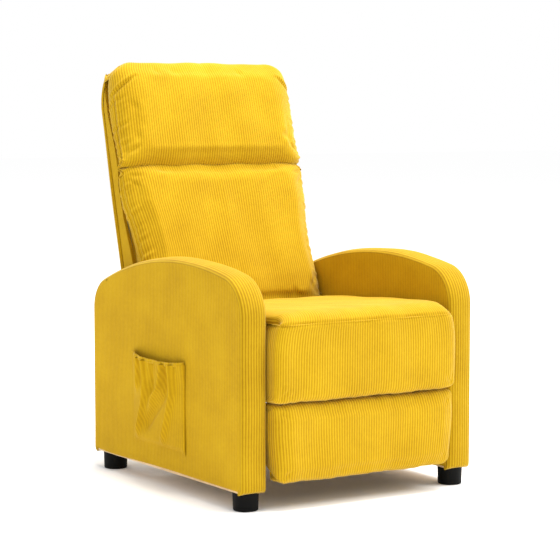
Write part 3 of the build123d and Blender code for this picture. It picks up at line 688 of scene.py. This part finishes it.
def legrest_pad():
    low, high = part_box("legrest_pad")
    front, rear = low.y - 0.001, high.y + 0.010
    line = soft_line([
        (rear, low.z - 0.002), (front + 0.014, low.z - 0.003), (front + 0.003, low.z + 0.006),
        (front, low.z + 0.030), (front - 0.001, high.z - 0.040), (front + 0.003, high.z - 0.006),
        (front + 0.014, high.z + 0.0035), (rear, high.z + 0.0035),
    ], 6)
    back = [tuple(line[0]), tuple(line[-1])]

    def half(line):
        height = line[:, 1]
        taper = 0.009 * (1 - ease(height, low.z, high.z - 0.05))
        top_corner = rounded_ends(height, 0.0, high.z + 0.003, 0.0015)
        foot_corner = rounded_ends(height, low.z - 0.003, 1.0, 0.018)
        return SEAT_HALF - 0.001 - taper - top_corner - foot_corner

    block = Block(line, back, [(0, 0.010), (0.3, 0.018), (0.7, 0.018), (1, 0.003)], half, True)

    def details(grid, across, along):
        total = 0 * grid[..., 0]
        for at, towards in ((along[-1] - 0.060, -1), (0.060, 1)):
            pulls = ((-0.026, towards * 0.018, 0.0030), (-0.004, towards * 0.028, 0.0022))
            total = total + puckers(across, along, (0.243, at), pulls)
        near_ends = (hump(along, 0.05, 0.025) + hump(along, along[-1] - 0.05, 0.025))[:, None]
        drawn = ripple(across[None, :], 7, (0.037, 0.052)) * near_ends
        waves = ripple(across[None, :] - 0.4 * along[:, None], 5, (0.13, 0.21))
        return total + 0.0007 * drawn + 0.0014 * waves

    padded_piece("legrest_cover", "legrest_pad", "legrest", block, upright, SWELL * 0.7, details)


# ---- back cushions --------------------
def back_half(inset, bottom_half, top_half, foot, top, corner):
    """Half width of the tapering back by height, with rounded top corners."""
    def width(height):
        share = np.clip((height - foot) / (top - foot), 0, 1)
        half = bottom_half + (top_half - bottom_half) * share - inset
        near = np.clip(height - (top - corner), 0, corner)
        return half - (corner - np.sqrt(np.maximum(corner ** 2 - near ** 2, 0)))
    return width


def side_seam(across, along, seam, lip, amount, seed):
    """A cushion's seam along both sides, the lip before it, and short gathers across it."""
    side = np.abs(across)[None, :]
    line = -0.0028 * hump(side, seam, 0.0035) + lip * hump(side, seam - 0.008, 0.004)
    strip = np.clip(hump(side, seam - 0.012, 0.024) + 0.7 * hump(side, seam + 0.026, 0.016), 0, 1)
    return line + amount * strip * ripple(along[:, None] + 0.3 * (side - seam), seed, (0.017, 0.0235, 0.031))


def cushion_half(line):
    """Half width of the back's cushions: close between the arms, and full above them."""
    return np.interp(line[:, 1], (0.0, 0.235, 0.300, 0.360, 0.420, 0.500, 0.650, 0.720),
                     (0.2515, 0.2515, 0.2580, 0.2690, 0.2700, 0.2640, 0.2610, 0.2560))


SIDE_ROUND = 0.048      # rounding of the back cushions' front edges at their sides
TOP_CORNER = 0.036      # rounding of the back's top corners
CUSHION_TUCK = 0.010    # how far the back cushions' sides pull in at the shell
ROUND_EXTRA = SIDE_ROUND * (math.pi / 2 - 1)    # cloth that the rounding takes up
LUMBAR_SEAM = 0.261 + ROUND_EXTRA       # side seams, as distances across the ribs
PILLOW_SEAM = 0.258 + ROUND_EXTRA


def shell_gap(height):
    """Depth of the line where the cushions meet the back's side covers."""
    return np.interp(height, (0.00, 0.20, 0.326, 0.413, 0.459, 0.500, 0.555, 0.634, 0.700),
                     (-0.030, -0.026, -0.027, -0.033, -0.040, -0.034, -0.022, -0.007, 0.002))


def lumbar_cushion():
    low, high = lean_box("lumbar_cushion")
    foot, top, rear = low[2], high[2], high[1]
    lower, upper = low[1] + 0.004, low[1] + 0.030
    line = soft_line([
        (rear, foot), (lower + 0.008, foot), (lower, foot + 0.012),
        (lower + 0.001, foot + 0.08), ((lower + upper) / 2, (foot + top) / 2), (upper - 0.002, top - 0.050),
        (upper + 0.002, top - 0.012), (upper + 0.014, top + 0.007), (rear, top + 0.007),
    ], 5)
    gap_rows = np.array([foot + 0.08, 0.20, 0.326, 0.413, top])
    back = [tuple(line[0])] + list(zip(shell_gap(gap_rows), gap_rows)) + [tuple(line[-1])]
    radii = [(0, 0.02), (0.15, 0.036), (0.8, SIDE_ROUND), (0.93, 0.030), (1, 0.010)]
    block = Block(line, back, radii, cushion_half, True, CUSHION_TUCK)

    def details(grid, across, along):
        side = np.abs(across)[None, :]
        fullness = 0.0022 * ripple(side * 1.1 + 0.35 * along[:, None], 6, (0.14, 0.23))
        total = side_seam(across, along, LUMBAR_SEAM, 0.0012, 0.0018, 3) + fullness
        top_front = along[-1] - 0.058
        for da, da_end, across_end, deep in ((0.0, -0.010, 0.222, 0.0030), (-0.012, -0.040, 0.236, 0.0026)):
            total = total + crease(across, along, (0.268, top_front + da), (across_end, top_front + da_end),
                                   deep, 0.006)
        return total

    padded_piece("lumbar_cushion_cover", "lumbar_cushion", "backrest", block, leaning, SWELL * 1.2,
                 details)


# Folds sewn in the head pillow's top corners, as distances across the ribs and along them.
DARTS = (((0.288, 0.232), (0.218, 0.272)), ((0.318, 0.285), (0.262, 0.338)))


def head_pillow():
    low, high = lean_box("head_pillow")
    foot, top, rear = low[2], high[2], high[1]
    front = low[1] + 0.003
    step_depth = lean_box("lumbar_cushion")[1][1]
    roll = top - 0.0166
    line = soft_line([
        (step_depth, foot - 0.006), (front + 0.020, foot - 0.006), (front + 0.002, foot + 0.010),
        (front, foot + 0.065), (front, top - 0.090), (front + 0.004, top - 0.040),
        (front + 0.018, top - 0.006), (front + 0.044, top + 0.003), (rear, roll - 0.001),
    ])
    line[-1] = (rear, roll)
    gap_rows = np.array([0.480, 0.520, 0.555, 0.600, 0.650])
    back = [tuple(line[0])] + list(zip(shell_gap(gap_rows), gap_rows)) + [(rear, roll - 0.012), (rear, roll)]

    def half(line):
        return cushion_half(line) - rounded_ends(line[:, 1], 0.0, top + 0.006, TOP_CORNER)

    radii = [(0, 0.010), (0.12, 0.034), (0.3, SIDE_ROUND), (0.75, SIDE_ROUND), (1, 0.026)]
    block = Block(line, back, radii, half, True, CUSHION_TUCK)

    def details(grid, across, along):
        side = np.abs(across)[None, :]
        up = along[:, None] / along[-1]
        below_roll = 1 - ease(up, 0.56, 0.62)
        fullness = 0.0018 * ripple(side + 0.3 * along[:, None], 8, (0.12, 0.20))
        total = below_roll * side_seam(across, along, PILLOW_SEAM, 0.0014, 0.0022, 5) + fullness
        for start, stop in DARTS:
            total = total + crease(across, along, start, stop, 0.0062, 0.0045, 0.0032)
        for stop, deep in (((0.228, 0.088), 0.0050), ((0.262, 0.110), 0.0030)):
            total = total + crease(across, along, (0.270, 0.068), stop, deep, 0.0055)
        return total

    padded_piece("head_pillow_cover", "head_pillow", "backrest", block, leaning, SWELL * 1.1, details)


# ---- shell of the back --------------------
ROLL_RADIUS = 0.110     # of the shell's bend over the top of the back
ROLL_HEIGHT = 0.61998   # of that bend's centre above the hinge
ROLL_INNER = 0.0955     # radius of the side covers' rear edge at the bend
SHELL_HALF = 0.250      # half width of the shell at its foot
SHELL_TAPER = 0.004     # how much less it is at the top
SHELL_FOOT = -0.06      # height where the taper of the side covers starts


def back_shell():
    low, high = lean_box("back_rear_cover")
    roll = (high[1] - ROLL_RADIUS, ROLL_HEIGHT)
    start = math.degrees(math.acos((low[1] + 0.0006 - roll[0]) / ROLL_RADIUS))
    outer = np.vstack([
        arc(roll, ROLL_RADIUS, start, 0),
        [(high[1], low[2] + 0.02), (high[1] - 0.004, low[2])],
    ])
    thickness = 0.014
    inner = np.vstack([
        [outer[0]],
        arc(roll, ROLL_RADIUS - thickness, start - 6, 0, 0.02),
        [(high[1] - thickness, low[2]), outer[-1]],
    ])
    top = ROLL_HEIGHT + ROLL_RADIUS + 0.004
    width = back_half(0.001, high[0], high[0] - SHELL_TAPER, low[2], top, TOP_CORNER)
    radii = [(0, 0.008), (0.2, 0.012), (1, 0.012)]
    block = Block(outer, inner.tolist(), radii, lambda line: width(line[:, 1]), False)
    rows = row_places(line_length(outer), PANEL_ROW)
    front, back, across, along = block.sheet(rows, WALE / STEPS_PER_WALE, leaning)
    seam = np.abs(across).max() - 0.020
    side = np.abs(across)[None, :]
    offset = wale_height(across, 0.7)[None, :] - 0.0016 * hump(side, seam, 0.003)
    offset = offset + 0.0010 * ripple(across[None, :] + 0.5 * along[:, None], 3, (0.17, 0.29))
    offset = offset + 0.004 * np.sin(np.pi * np.clip(along / along[-1], 0, 1))[:, None]
    offset[[0, -1]] = 0
    offset[:, [0, -1]] = 0
    front = front + grid_normals(front) * offset[..., None]
    piece = closed_piece("back_rear_shell", front, back, across, along)
    dress(piece, PANEL_CLOTH, "corduroy", "backrest", "back_rear_cover")


def back_side_covers():
    low, high = lean_box("back_side_covers")
    roll_depth = lean_box("back_rear_cover")[1][1] - ROLL_RADIUS
    top = ROLL_HEIGHT + ROLL_RADIUS + 0.004
    width = back_half(0.0, SHELL_HALF, SHELL_HALF - SHELL_TAPER, SHELL_FOOT, top, TOP_CORNER)
    rows = np.linspace(low[2], high[2] - 0.001, int((high[2] - low[2]) / PANEL_ROW))
    front_edge = shell_gap(rows) + 0.0006
    climb = np.clip(rows - ROLL_HEIGHT, 0, ROLL_INNER)
    rear_edge = np.minimum(high[1], roll_depth + np.sqrt(ROLL_INNER ** 2 - climb ** 2))
    rear_edge = np.maximum(rear_edge, front_edge + 0.002)
    count = int((high[1] - low[1]) / WALE * STEPS_PER_WALE)
    share = np.linspace(0, 1, count)
    depth = front_edge[:, None] * (1 - share) + rear_edge[:, None] * share
    height = np.repeat(rows[:, None], count, axis=1)
    across = np.linspace(low[1], high[1], count)
    front_side = share[None, :] * (rear_edge - front_edge)[:, None]
    rear_side = (1 - share)[None, :] * (rear_edge - front_edge)[:, None]
    bulge = 0.0060 * ease(front_side, 0, 0.013) - 0.0060 - 0.0025 * (1 - ease(rear_side, 0, 0.008))
    bulge = bulge + wale_height(across, 0.5)[None, :]
    for side, sign in SIDES:
        x = sign * (np.repeat(width(rows)[:, None], count, axis=1) - 0.001 + bulge)
        order = slice(None, None, sign)
        front = leaning(np.dstack([x, depth, height])[:, order])
        inward = np.array([-sign * 0.005, 0, 0])
        piece = thick_panel(f"back_side_cover_{side}", front, across[order], rows, inward)
        dress(piece, PANEL_CLOTH, "corduroy", "backrest", "back_side_covers")


# ---- arms --------------------
TOP_RADIUS = 1.000      # gentle arch along an arm's top
PEAK_SETBACK = 0.277
FRONT_RADIUS = 0.086
REAR_RADIUS = 0.072
CROWN = 0.0112          # how far the band stands proud of the panels' outline
PANEL_DROP = 0.0020     # how far the cloth's edge lies inside the boards' sides
WELT = 0.0045           # from the seam to the top-stitched ridge beside it


class ArmOutline:
    """Side outline of an arm: upright front and rear, two round corners, and a gentle arch."""

    def __init__(self, low, high):
        self.front, self.rear, self.foot = low.y, high.y, low.z
        self.arch = np.array([low.y + PEAK_SETBACK, high.z - TOP_RADIUS])
        self.corners = []
        for y, radius in ((low.y + FRONT_RADIUS, FRONT_RADIUS), (high.y - REAR_RADIUS, REAR_RADIUS)):
            rise = math.sqrt((TOP_RADIUS - radius) ** 2 - (y - self.arch[0]) ** 2)
            self.corners.append((np.array([y, self.arch[1] + rise]), radius))

    def angle_to(self, corner):
        """Angle of the arch where a round corner meets it, in degrees."""
        offset = self.corners[corner][0] - self.arch
        return math.degrees(math.atan2(offset[1], offset[0]))

    def path(self):
        """The outline from the front's foot over the arch to the rear's foot."""
        (front, front_radius), (rear, rear_radius) = self.corners
        meet, leave = self.angle_to(0), self.angle_to(1)
        return np.vstack([
            [(self.front, self.foot), (self.front, front[1] - 0.001)],
            arc(front, front_radius, 180, meet),
            arc(self.arch, TOP_RADIUS, meet, leave)[1:-1],
            arc(rear, rear_radius, leave, 0),
            [(self.rear, rear[1] - 0.001), (self.rear, self.foot)],
        ])

    def height_at(self, y):
        """Height of the outline above a place along the arm."""
        (front, front_radius), (rear, rear_radius) = self.corners
        meet = front + front_radius * (front - self.arch) / np.linalg.norm(front - self.arch)
        leave = rear + rear_radius * (rear - self.arch) / np.linalg.norm(rear - self.arch)
        arch = self.arch[1] + np.sqrt(TOP_RADIUS ** 2 - (y - self.arch[0]) ** 2)
        fore = front[1] + np.sqrt(np.maximum(front_radius ** 2 - (y - front[0]) ** 2, 0))
        aft = rear[1] + np.sqrt(np.maximum(rear_radius ** 2 - (y - rear[0]) ** 2, 0))
        return np.where(y < meet[0], fore, np.where(y > leave[0], aft, arch))

    def inside(self, y, z):
        """How far a point is inside the outline, ignoring its foot."""
        depth = np.minimum(y - self.front, self.rear - y)
        depth = np.minimum(depth, TOP_RADIUS - np.hypot(y - self.arch[0], z - self.arch[1]))
        for (centre, radius), sign in zip(self.corners, (-1, 1)):
            beyond = (sign * (y - centre[0]) > 0) & (z > centre[1])
            round_depth = radius - np.hypot(y - centre[0], z - centre[1])
            depth = np.where(beyond, np.minimum(depth, round_depth), depth)
        return np.maximum(depth, 0)


def arm_section(half):
    """Outside of the band across the arm: place across and height above the seam."""
    share = np.sin(np.linspace(-math.pi / 2, math.pi / 2, 181))
    height = CROWN * np.maximum(1 - np.abs(share) ** 2.7, 0) ** (1 / 1.9)
    line = np.column_stack([share * half, height])
    length = line_length(line)
    count = int(round(length / WALE * STEPS_PER_WALE)) + 1
    line, places = resample(line, count)
    return line, places - length / 2


def arm_band(side, sign):
    """The padded band from the front's foot over the arch and down the rear."""
    panel_low, panel_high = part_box(f"arm_outer_panel_{side}")
    band_low, band_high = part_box(f"arm_band_{side}")
    outline = ArmOutline(panel_low, panel_high)
    half = (band_high.x - band_low.x) / 2 - PANEL_DROP
    middle = (band_high.x + band_low.x) / 2
    path, along = resample(outline.path(), int(line_length(outline.path()) / ROW) + 1)
    tangents = np.gradient(path, axis=0)
    tangents /= np.linalg.norm(tangents, axis=1, keepdims=True)
    outward = np.column_stack([-tangents[:, 1], tangents[:, 0]])
    section, across = arm_section(half)
    end = np.minimum(along, along[-1] - along)
    tuck = 0.010
    under = tuck - np.sqrt(np.maximum(tuck ** 2 - np.maximum(tuck - end, 0) ** 2, 0))
    edge = half - np.abs(section[:, 0])
    over_arch = ease(path[:, 1], outline.corners[0][0][1] - 0.06, outline.corners[0][0][1] + 0.03)
    ridge = 0.0007 * hump(edge, WELT, 0.0024)[None, :] * over_arch[:, None]
    ribs = wale_height(across, 1.1) * ease(edge, 0.003, 0.010)
    point = 0.004 * hump(edge, 0.0, 0.006)[None, :] * hump(end, 0.0, 0.006)[:, None]
    slack = 0.0010 * ripple(along[:, None] + 0.2 * across[None, :], 2 + sign, (0.19, 0.31))
    fade = ease(edge, 0, 0.012)[None, :]
    height = section[None, :, 1] + ridge + ribs[None, :] + slack * fade - under[:, None]
    bend = path[:, None, :] + outward[:, None, :] * height[..., None]
    bend[..., 1] -= point
    x = middle + np.repeat(section[None, :, 0], len(path), axis=0)
    outer = np.dstack([x, bend])
    depth = band_high.y - panel_high.y
    floor = path[:, None, :] - outward[:, None, :] * depth
    inner = np.dstack([middle + half * np.array([[1, -1]]).repeat(len(path), 0), floor.repeat(2, axis=1)])
    ring = np.concatenate([outer, inner], axis=1)
    around = np.concatenate([across, [across[-1] + depth, across[0] - depth]])
    return ring_piece(f"arm_band_cover_{side}", ring, around, along)


def ring_piece(name, rings, around, along):
    """A closed bar: rows of closed rings, with an end face at each end."""
    rows, columns = rings.shape[:2]
    cell = np.arange(rows * columns).reshape(rows, columns)
    beside = np.roll(cell, -1, axis=1)
    faces = np.stack([cell[:-1], beside[:-1], beside[1:], cell[1:]], 2).reshape(-1, 4).tolist()
    faces += [cell[0, ::-1].tolist(), cell[-1].tolist()]
    return to_object(name, rings.reshape(-1, 3), faces, wale_map(around, along))


def arm_panel(sign, facing, node, name):
    """A side panel of an arm. facing is 1 for the outer side and -1 for the side by the seat."""
    low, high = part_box(node)
    outline = ArmOutline(low, high)
    margin = 0.0001
    count = int((high.y - low.y) / WALE * STEPS_PER_WALE)
    y = np.linspace(low.y + margin, high.y - margin, count)
    top = outline.height_at(y) - margin
    rows = int((high.z - low.z) / PANEL_ROW)
    share = np.linspace(0, 1, rows)
    share = np.where(share > 0.9, 0.9 + 0.1 * np.sin((share - 0.9) / 0.1 * math.pi / 2), share)
    z = low.z + 0.001 + share[:, None] * (top - low.z - 0.001)[None, :]
    y_grid = np.repeat(y[None, :], rows, axis=0)
    depth = outline.inside(y_grid, z)
    surface = high.x if facing * sign > 0 else low.x
    out = facing * sign
    fall = PANEL_DROP - 0.0008 * ease(depth, 0.0, 0.012) + 0.0040 * (1 - ease(z - low.z, 0, 0.012))
    loose = 0.0010 * ripple(z * 0.9 + y_grid * 0.4, 3 + sign * facing, (0.21, 0.33)) * ease(depth, 0, 0.1)
    ribs = wale_height(y, 0.55)[None, :] * ease(depth, 0.001, 0.012)
    x = surface + out * (loose + ribs - fall)
    front = np.dstack([x, y_grid, z])
    order = slice(None, None, out)
    piece = thick_panel(name, front[:, order], y[order], z[:, 0], np.array([-out * 0.0030, 0, 0]))
    dress(piece, PANEL_CLOTH, "corduroy", "base", node)


def arms():
    for side, sign in SIDES:
        band = arm_band(side, sign)
        dress(band, SHADED_BAND_CLOTH, "corduroy", "base", f"arm_band_{side}")
        arm_panel(sign, 1, f"arm_outer_panel_{side}", f"arm_outer_cover_{side}")
        arm_panel(sign, -1, f"arm_inner_panel_{side}", f"arm_inner_cover_{side}")


# ---- side pocket --------------------
# Each fold: (share of the width from the rear, share of the height) along it from the hem down,
# then how far it stands out and its half width.
POCKET_FOLDS = (
    (((0.20, 1.0), (0.15, 0.78), (0.10, 0.55)), 0.0030, 0.0055),
    (((0.33, 1.0), (0.32, 0.68), (0.27, 0.45), (0.17, 0.20), (0.10, 0.02)), 0.0048, 0.0065),
    (((0.69, 1.0), (0.59, 0.72), (0.45, 0.56), (0.36, 0.40)), 0.0042, 0.0070),
    (((0.84, 1.0), (0.85, 0.80), (0.84, 0.66), (0.77, 0.45), (0.69, 0.24), (0.60, 0.02)), 0.0048, 0.0075),
    (((0.76, 1.0), (0.67, 0.64), (0.50, 0.45), (0.34, 0.28), (0.26, 0.12)), -0.0050, 0.0120),
    (((0.46, 1.0), (0.43, 0.75), (0.38, 0.50)), -0.0040, 0.0080),
    (((0.25, 1.0), (0.18, 0.60)), -0.0028, 0.0050),
)
CLOTH = 0.0012          # thickness of the pocket's cloth, and its least distance from the panel
POCKET_ROWS = 60
SAG = 0.009             # how far the hem hangs down in the middle
GATHERS = (0.07, 0.13, 0.25, 0.37, 0.43, 0.53, 0.61, 0.72, 0.79, 0.90)


def pocket_fold(share, level, width, path, size, half):
    """One fold of the pocket's cloth, which dies out at its lower end."""
    shares, levels = np.array(path)[::-1].T
    middle = np.interp(level, levels, shares)
    strength = ease(level, levels[0] - 0.02, levels[0] + 0.18)
    return 2.6 * size * strength * hump((share[None, :] - middle) * width, 0, half * (1.5 - 0.5 * level))


def side_pocket():
    """A gathered pocket sewn to the panel on three sides, under an elastic hem."""
    low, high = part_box("side_pocket")
    hem_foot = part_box("pocket_elastic")[0].z
    wall, width = high.x, high.y - low.y
    count = int(width / WALE * STEPS_PER_WALE)
    y = np.linspace(high.y, low.y, count)
    share = (high.y - y) / width
    level = np.linspace(0, 1, POCKET_ROWS)[:, None]
    sag = SAG * np.sin(math.pi * share) ** 0.8
    top = hem_foot - sag + 0.004 * (1 - share) + 0.003
    corner_sag = 0.006 * hump(share, 1, 0.04)[None, :] * (1 - ease(level, 0, 0.08))
    z = low.z + level * (top - low.z)[None, :] - corner_sag
    rear_gap, front_gap = share[None, :] * width, (1 - share)[None, :] * width
    side_gap = np.minimum(rear_gap, front_gap)
    edge = np.sqrt(np.clip(side_gap / 0.006, 0, 1))
    fullness = np.sin(np.clip(side_gap / 0.06, 0, 1) * math.pi / 2) * (0.3 + 0.7 * level)
    belly = 0.0034 * edge + 0.0100 * fullness
    belly = belly * ease(level, 0, 0.07)
    folds = sum(pocket_fold(share, level, width, *fold) for fold in POCKET_FOLDS)
    for place in GATHERS:
        folds = folds - 0.0022 * hump(share, place, 0.014)[None, :] * ease(level, 0.84, 0.96)
    y_grid = y[None, :] - 0.0028 * hump(front_gap, 0.0035, 0.0035) + 0 * level
    ribs = wale_height(share * width, 0.25)[None, :]
    folds = folds * ease(side_gap, 0.0, 0.016)
    lift = 0.0014 + 0.0040 * edge * ease(level, 0.75, 1.0)
    out = lift + belly + folds + ribs * ease(side_gap, 0.002, 0.008)
    out = np.maximum(out, CLOTH)
    front = np.dstack([wall - out, y_grid, z])
    back = front.copy()
    back[..., 0] += CLOTH
    piece = sheet_piece("side_pocket_cloth", front, back, share * width, z[:, 0])
    dress(piece, PANEL_CLOTH, "corduroy", "base", "side_pocket")
    hem = pocket_hem(y, top, wall - out[-1], share * width)
    dress(hem, HEM_CLOTH, "hem_tape", "base", "pocket_elastic")


def sheet_piece(name, front, back, across, along):
    """A thin closed sheet with a fine grid on both sides."""
    rows, columns = front.shape[:2]
    count = rows * columns
    cell = np.arange(count).reshape(rows, columns)
    rear = cell + count
    faces = quads(cell)
    faces += np.stack([rear[:-1, :-1], rear[1:, :-1], rear[1:, 1:], rear[:-1, 1:]], 2).reshape(-1, 4).tolist()
    rim = np.concatenate([cell[0, :-1], cell[:-1, -1], cell[-1, :0:-1], cell[:0:-1, 0]])
    after = np.roll(rim, -1)
    faces += np.stack([after, rim, rim + count, after + count], 1).tolist()
    wales = wale_map(across, along)
    points = np.concatenate([front.reshape(-1, 3), back.reshape(-1, 3)])
    return to_object(name, points, faces, np.concatenate([wales, wales]))


def pocket_hem(y, top, x_line, across):
    """The rolled hem with elastic in it, drawn into small ruffles."""
    hem = 0.0105
    turns = np.linspace(0, 2 * math.pi, 17)[:-1]
    ruffle = 0.0008 * ripple(across, 5, (0.0085, 0.0117))
    x_line = np.convolve(np.pad(x_line, 15, mode="edge"), np.ones(31) / 31, mode="valid")
    rings = []
    for x, at, z, wave in zip(x_line, y, top, ruffle):
        thick = 0.0024 + 0.35 * wave
        rings.append([
            (x + 0.0012 - thick * math.cos(t) - wave, at, z + hem / 2 - 0.004 + hem / 2 * math.sin(t))
            for t in turns
        ])
    rings = np.array(rings)[:, ::-1]
    return ring_piece("pocket_hem", rings, np.linspace(0, 0.03, len(turns)), across)


# ---- carried-over CAD nodes --------------------
NODE_FINISH = (
    ("feet", "foot_plastic"), ("spring_clips", "clip_plastic"), ("springs", "mechanism_steel"),
    ("straps", "webbing"), ("board", "plywood"), ("stiles", "pine"), ("posts", "pine"), ("rail", "pine"),
    ("bolts", "zinc_steel"), ("studs", "zinc_steel"), ("pins", "zinc_steel"),
)


def finish_of(node):
    """The material slot of a CAD node that stays."""
    for word, slot_name in reversed(NODE_FINISH):
        if word in node and "board_link" not in node:
            return slot_name
    return "mechanism_steel"


def dress_cad():
    for name, node in frame["nodes"].items():
        if node.hide_render:
            continue
        slot_name = finish_of(name)
        node.data.materials.clear()
        node.data.materials.append(FINISHES[slot_name])


# ---- floor, light and camera --------------------
def floor():
    mesh = bpy.data.meshes.new("studio_floor")
    reach = 30.0
    corners = [(-reach, -reach, 0), (reach, -reach, 0), (reach, reach, 0), (-reach, reach, 0)]
    mesh.from_pydata(corners, [], [(0, 1, 2, 3)])
    piece = bpy.data.objects.new("studio_floor", mesh)
    bpy.context.scene.collection.objects.link(piece)
    material, _, shader = node_tree("studio_paper")
    shader.inputs["Base Color"].default_value = (0.99, 0.99, 0.99, 1.0)
    shader.inputs["Roughness"].default_value = 1.0
    shader.inputs["Specular IOR Level"].default_value = 0.0
    mesh.materials.append(material)


def lamp(name, place, target, size, power):
    """A soft square studio lamp aimed at a point."""
    light = bpy.data.lights.new(name, "AREA")
    light.size = size
    light.energy = power
    piece = bpy.data.objects.new(name, light)
    piece.location = place
    piece.rotation_euler = (Vector(target) - Vector(place)).to_track_quat("-Z", "Y").to_euler()
    bpy.context.scene.collection.objects.link(piece)


def studio():
    floor()
    world = bpy.data.worlds.new("studio_world")
    bpy.context.scene.world = world
    world.use_nodes = True
    background = world.node_tree.nodes["Background"]
    background.inputs["Color"].default_value = (1.0, 1.0, 1.0, 1.0)
    background.inputs["Strength"].default_value = 1.0
    middle = (0, 0, 0.5)
    lamp("key_light", (3.2, -3.5, 5.1), middle, 2.8, 180)
    lamp("top_light", (0.8, -0.3, 5.5), middle, 3.0, 470)
    bpy.context.scene.view_settings.view_transform = "Standard"
    bpy.context.scene.view_settings.look = "None"


CAMERA_PLACE = (-2.53, -3.9532, 0.8918)
CAMERA_TILT = 5.02      # degrees below level
CAMERA_TURN = 32.89     # degrees round from the chair's front
LENS = 123.16           # millimetres, on a sensor 36 wide


def camera():
    data = bpy.data.cameras.new("photo_camera")
    data.lens = LENS
    data.sensor_width = 36.0
    data.clip_end = 100
    piece = bpy.data.objects.new("photo_camera", data)
    piece.location = CAMERA_PLACE
    piece.rotation_euler = (math.radians(90 - CAMERA_TILT), 0, math.radians(-CAMERA_TURN))
    bpy.context.scene.collection.objects.link(piece)
    bpy.context.scene.camera = piece


# ---- the chair --------------------
arms()
side_pocket()
seat_cushion()
seat_border()
legrest_pad()
lumbar_cushion()
head_pillow()
back_shell()
back_side_covers()
dress_cad()
studio()
camera()
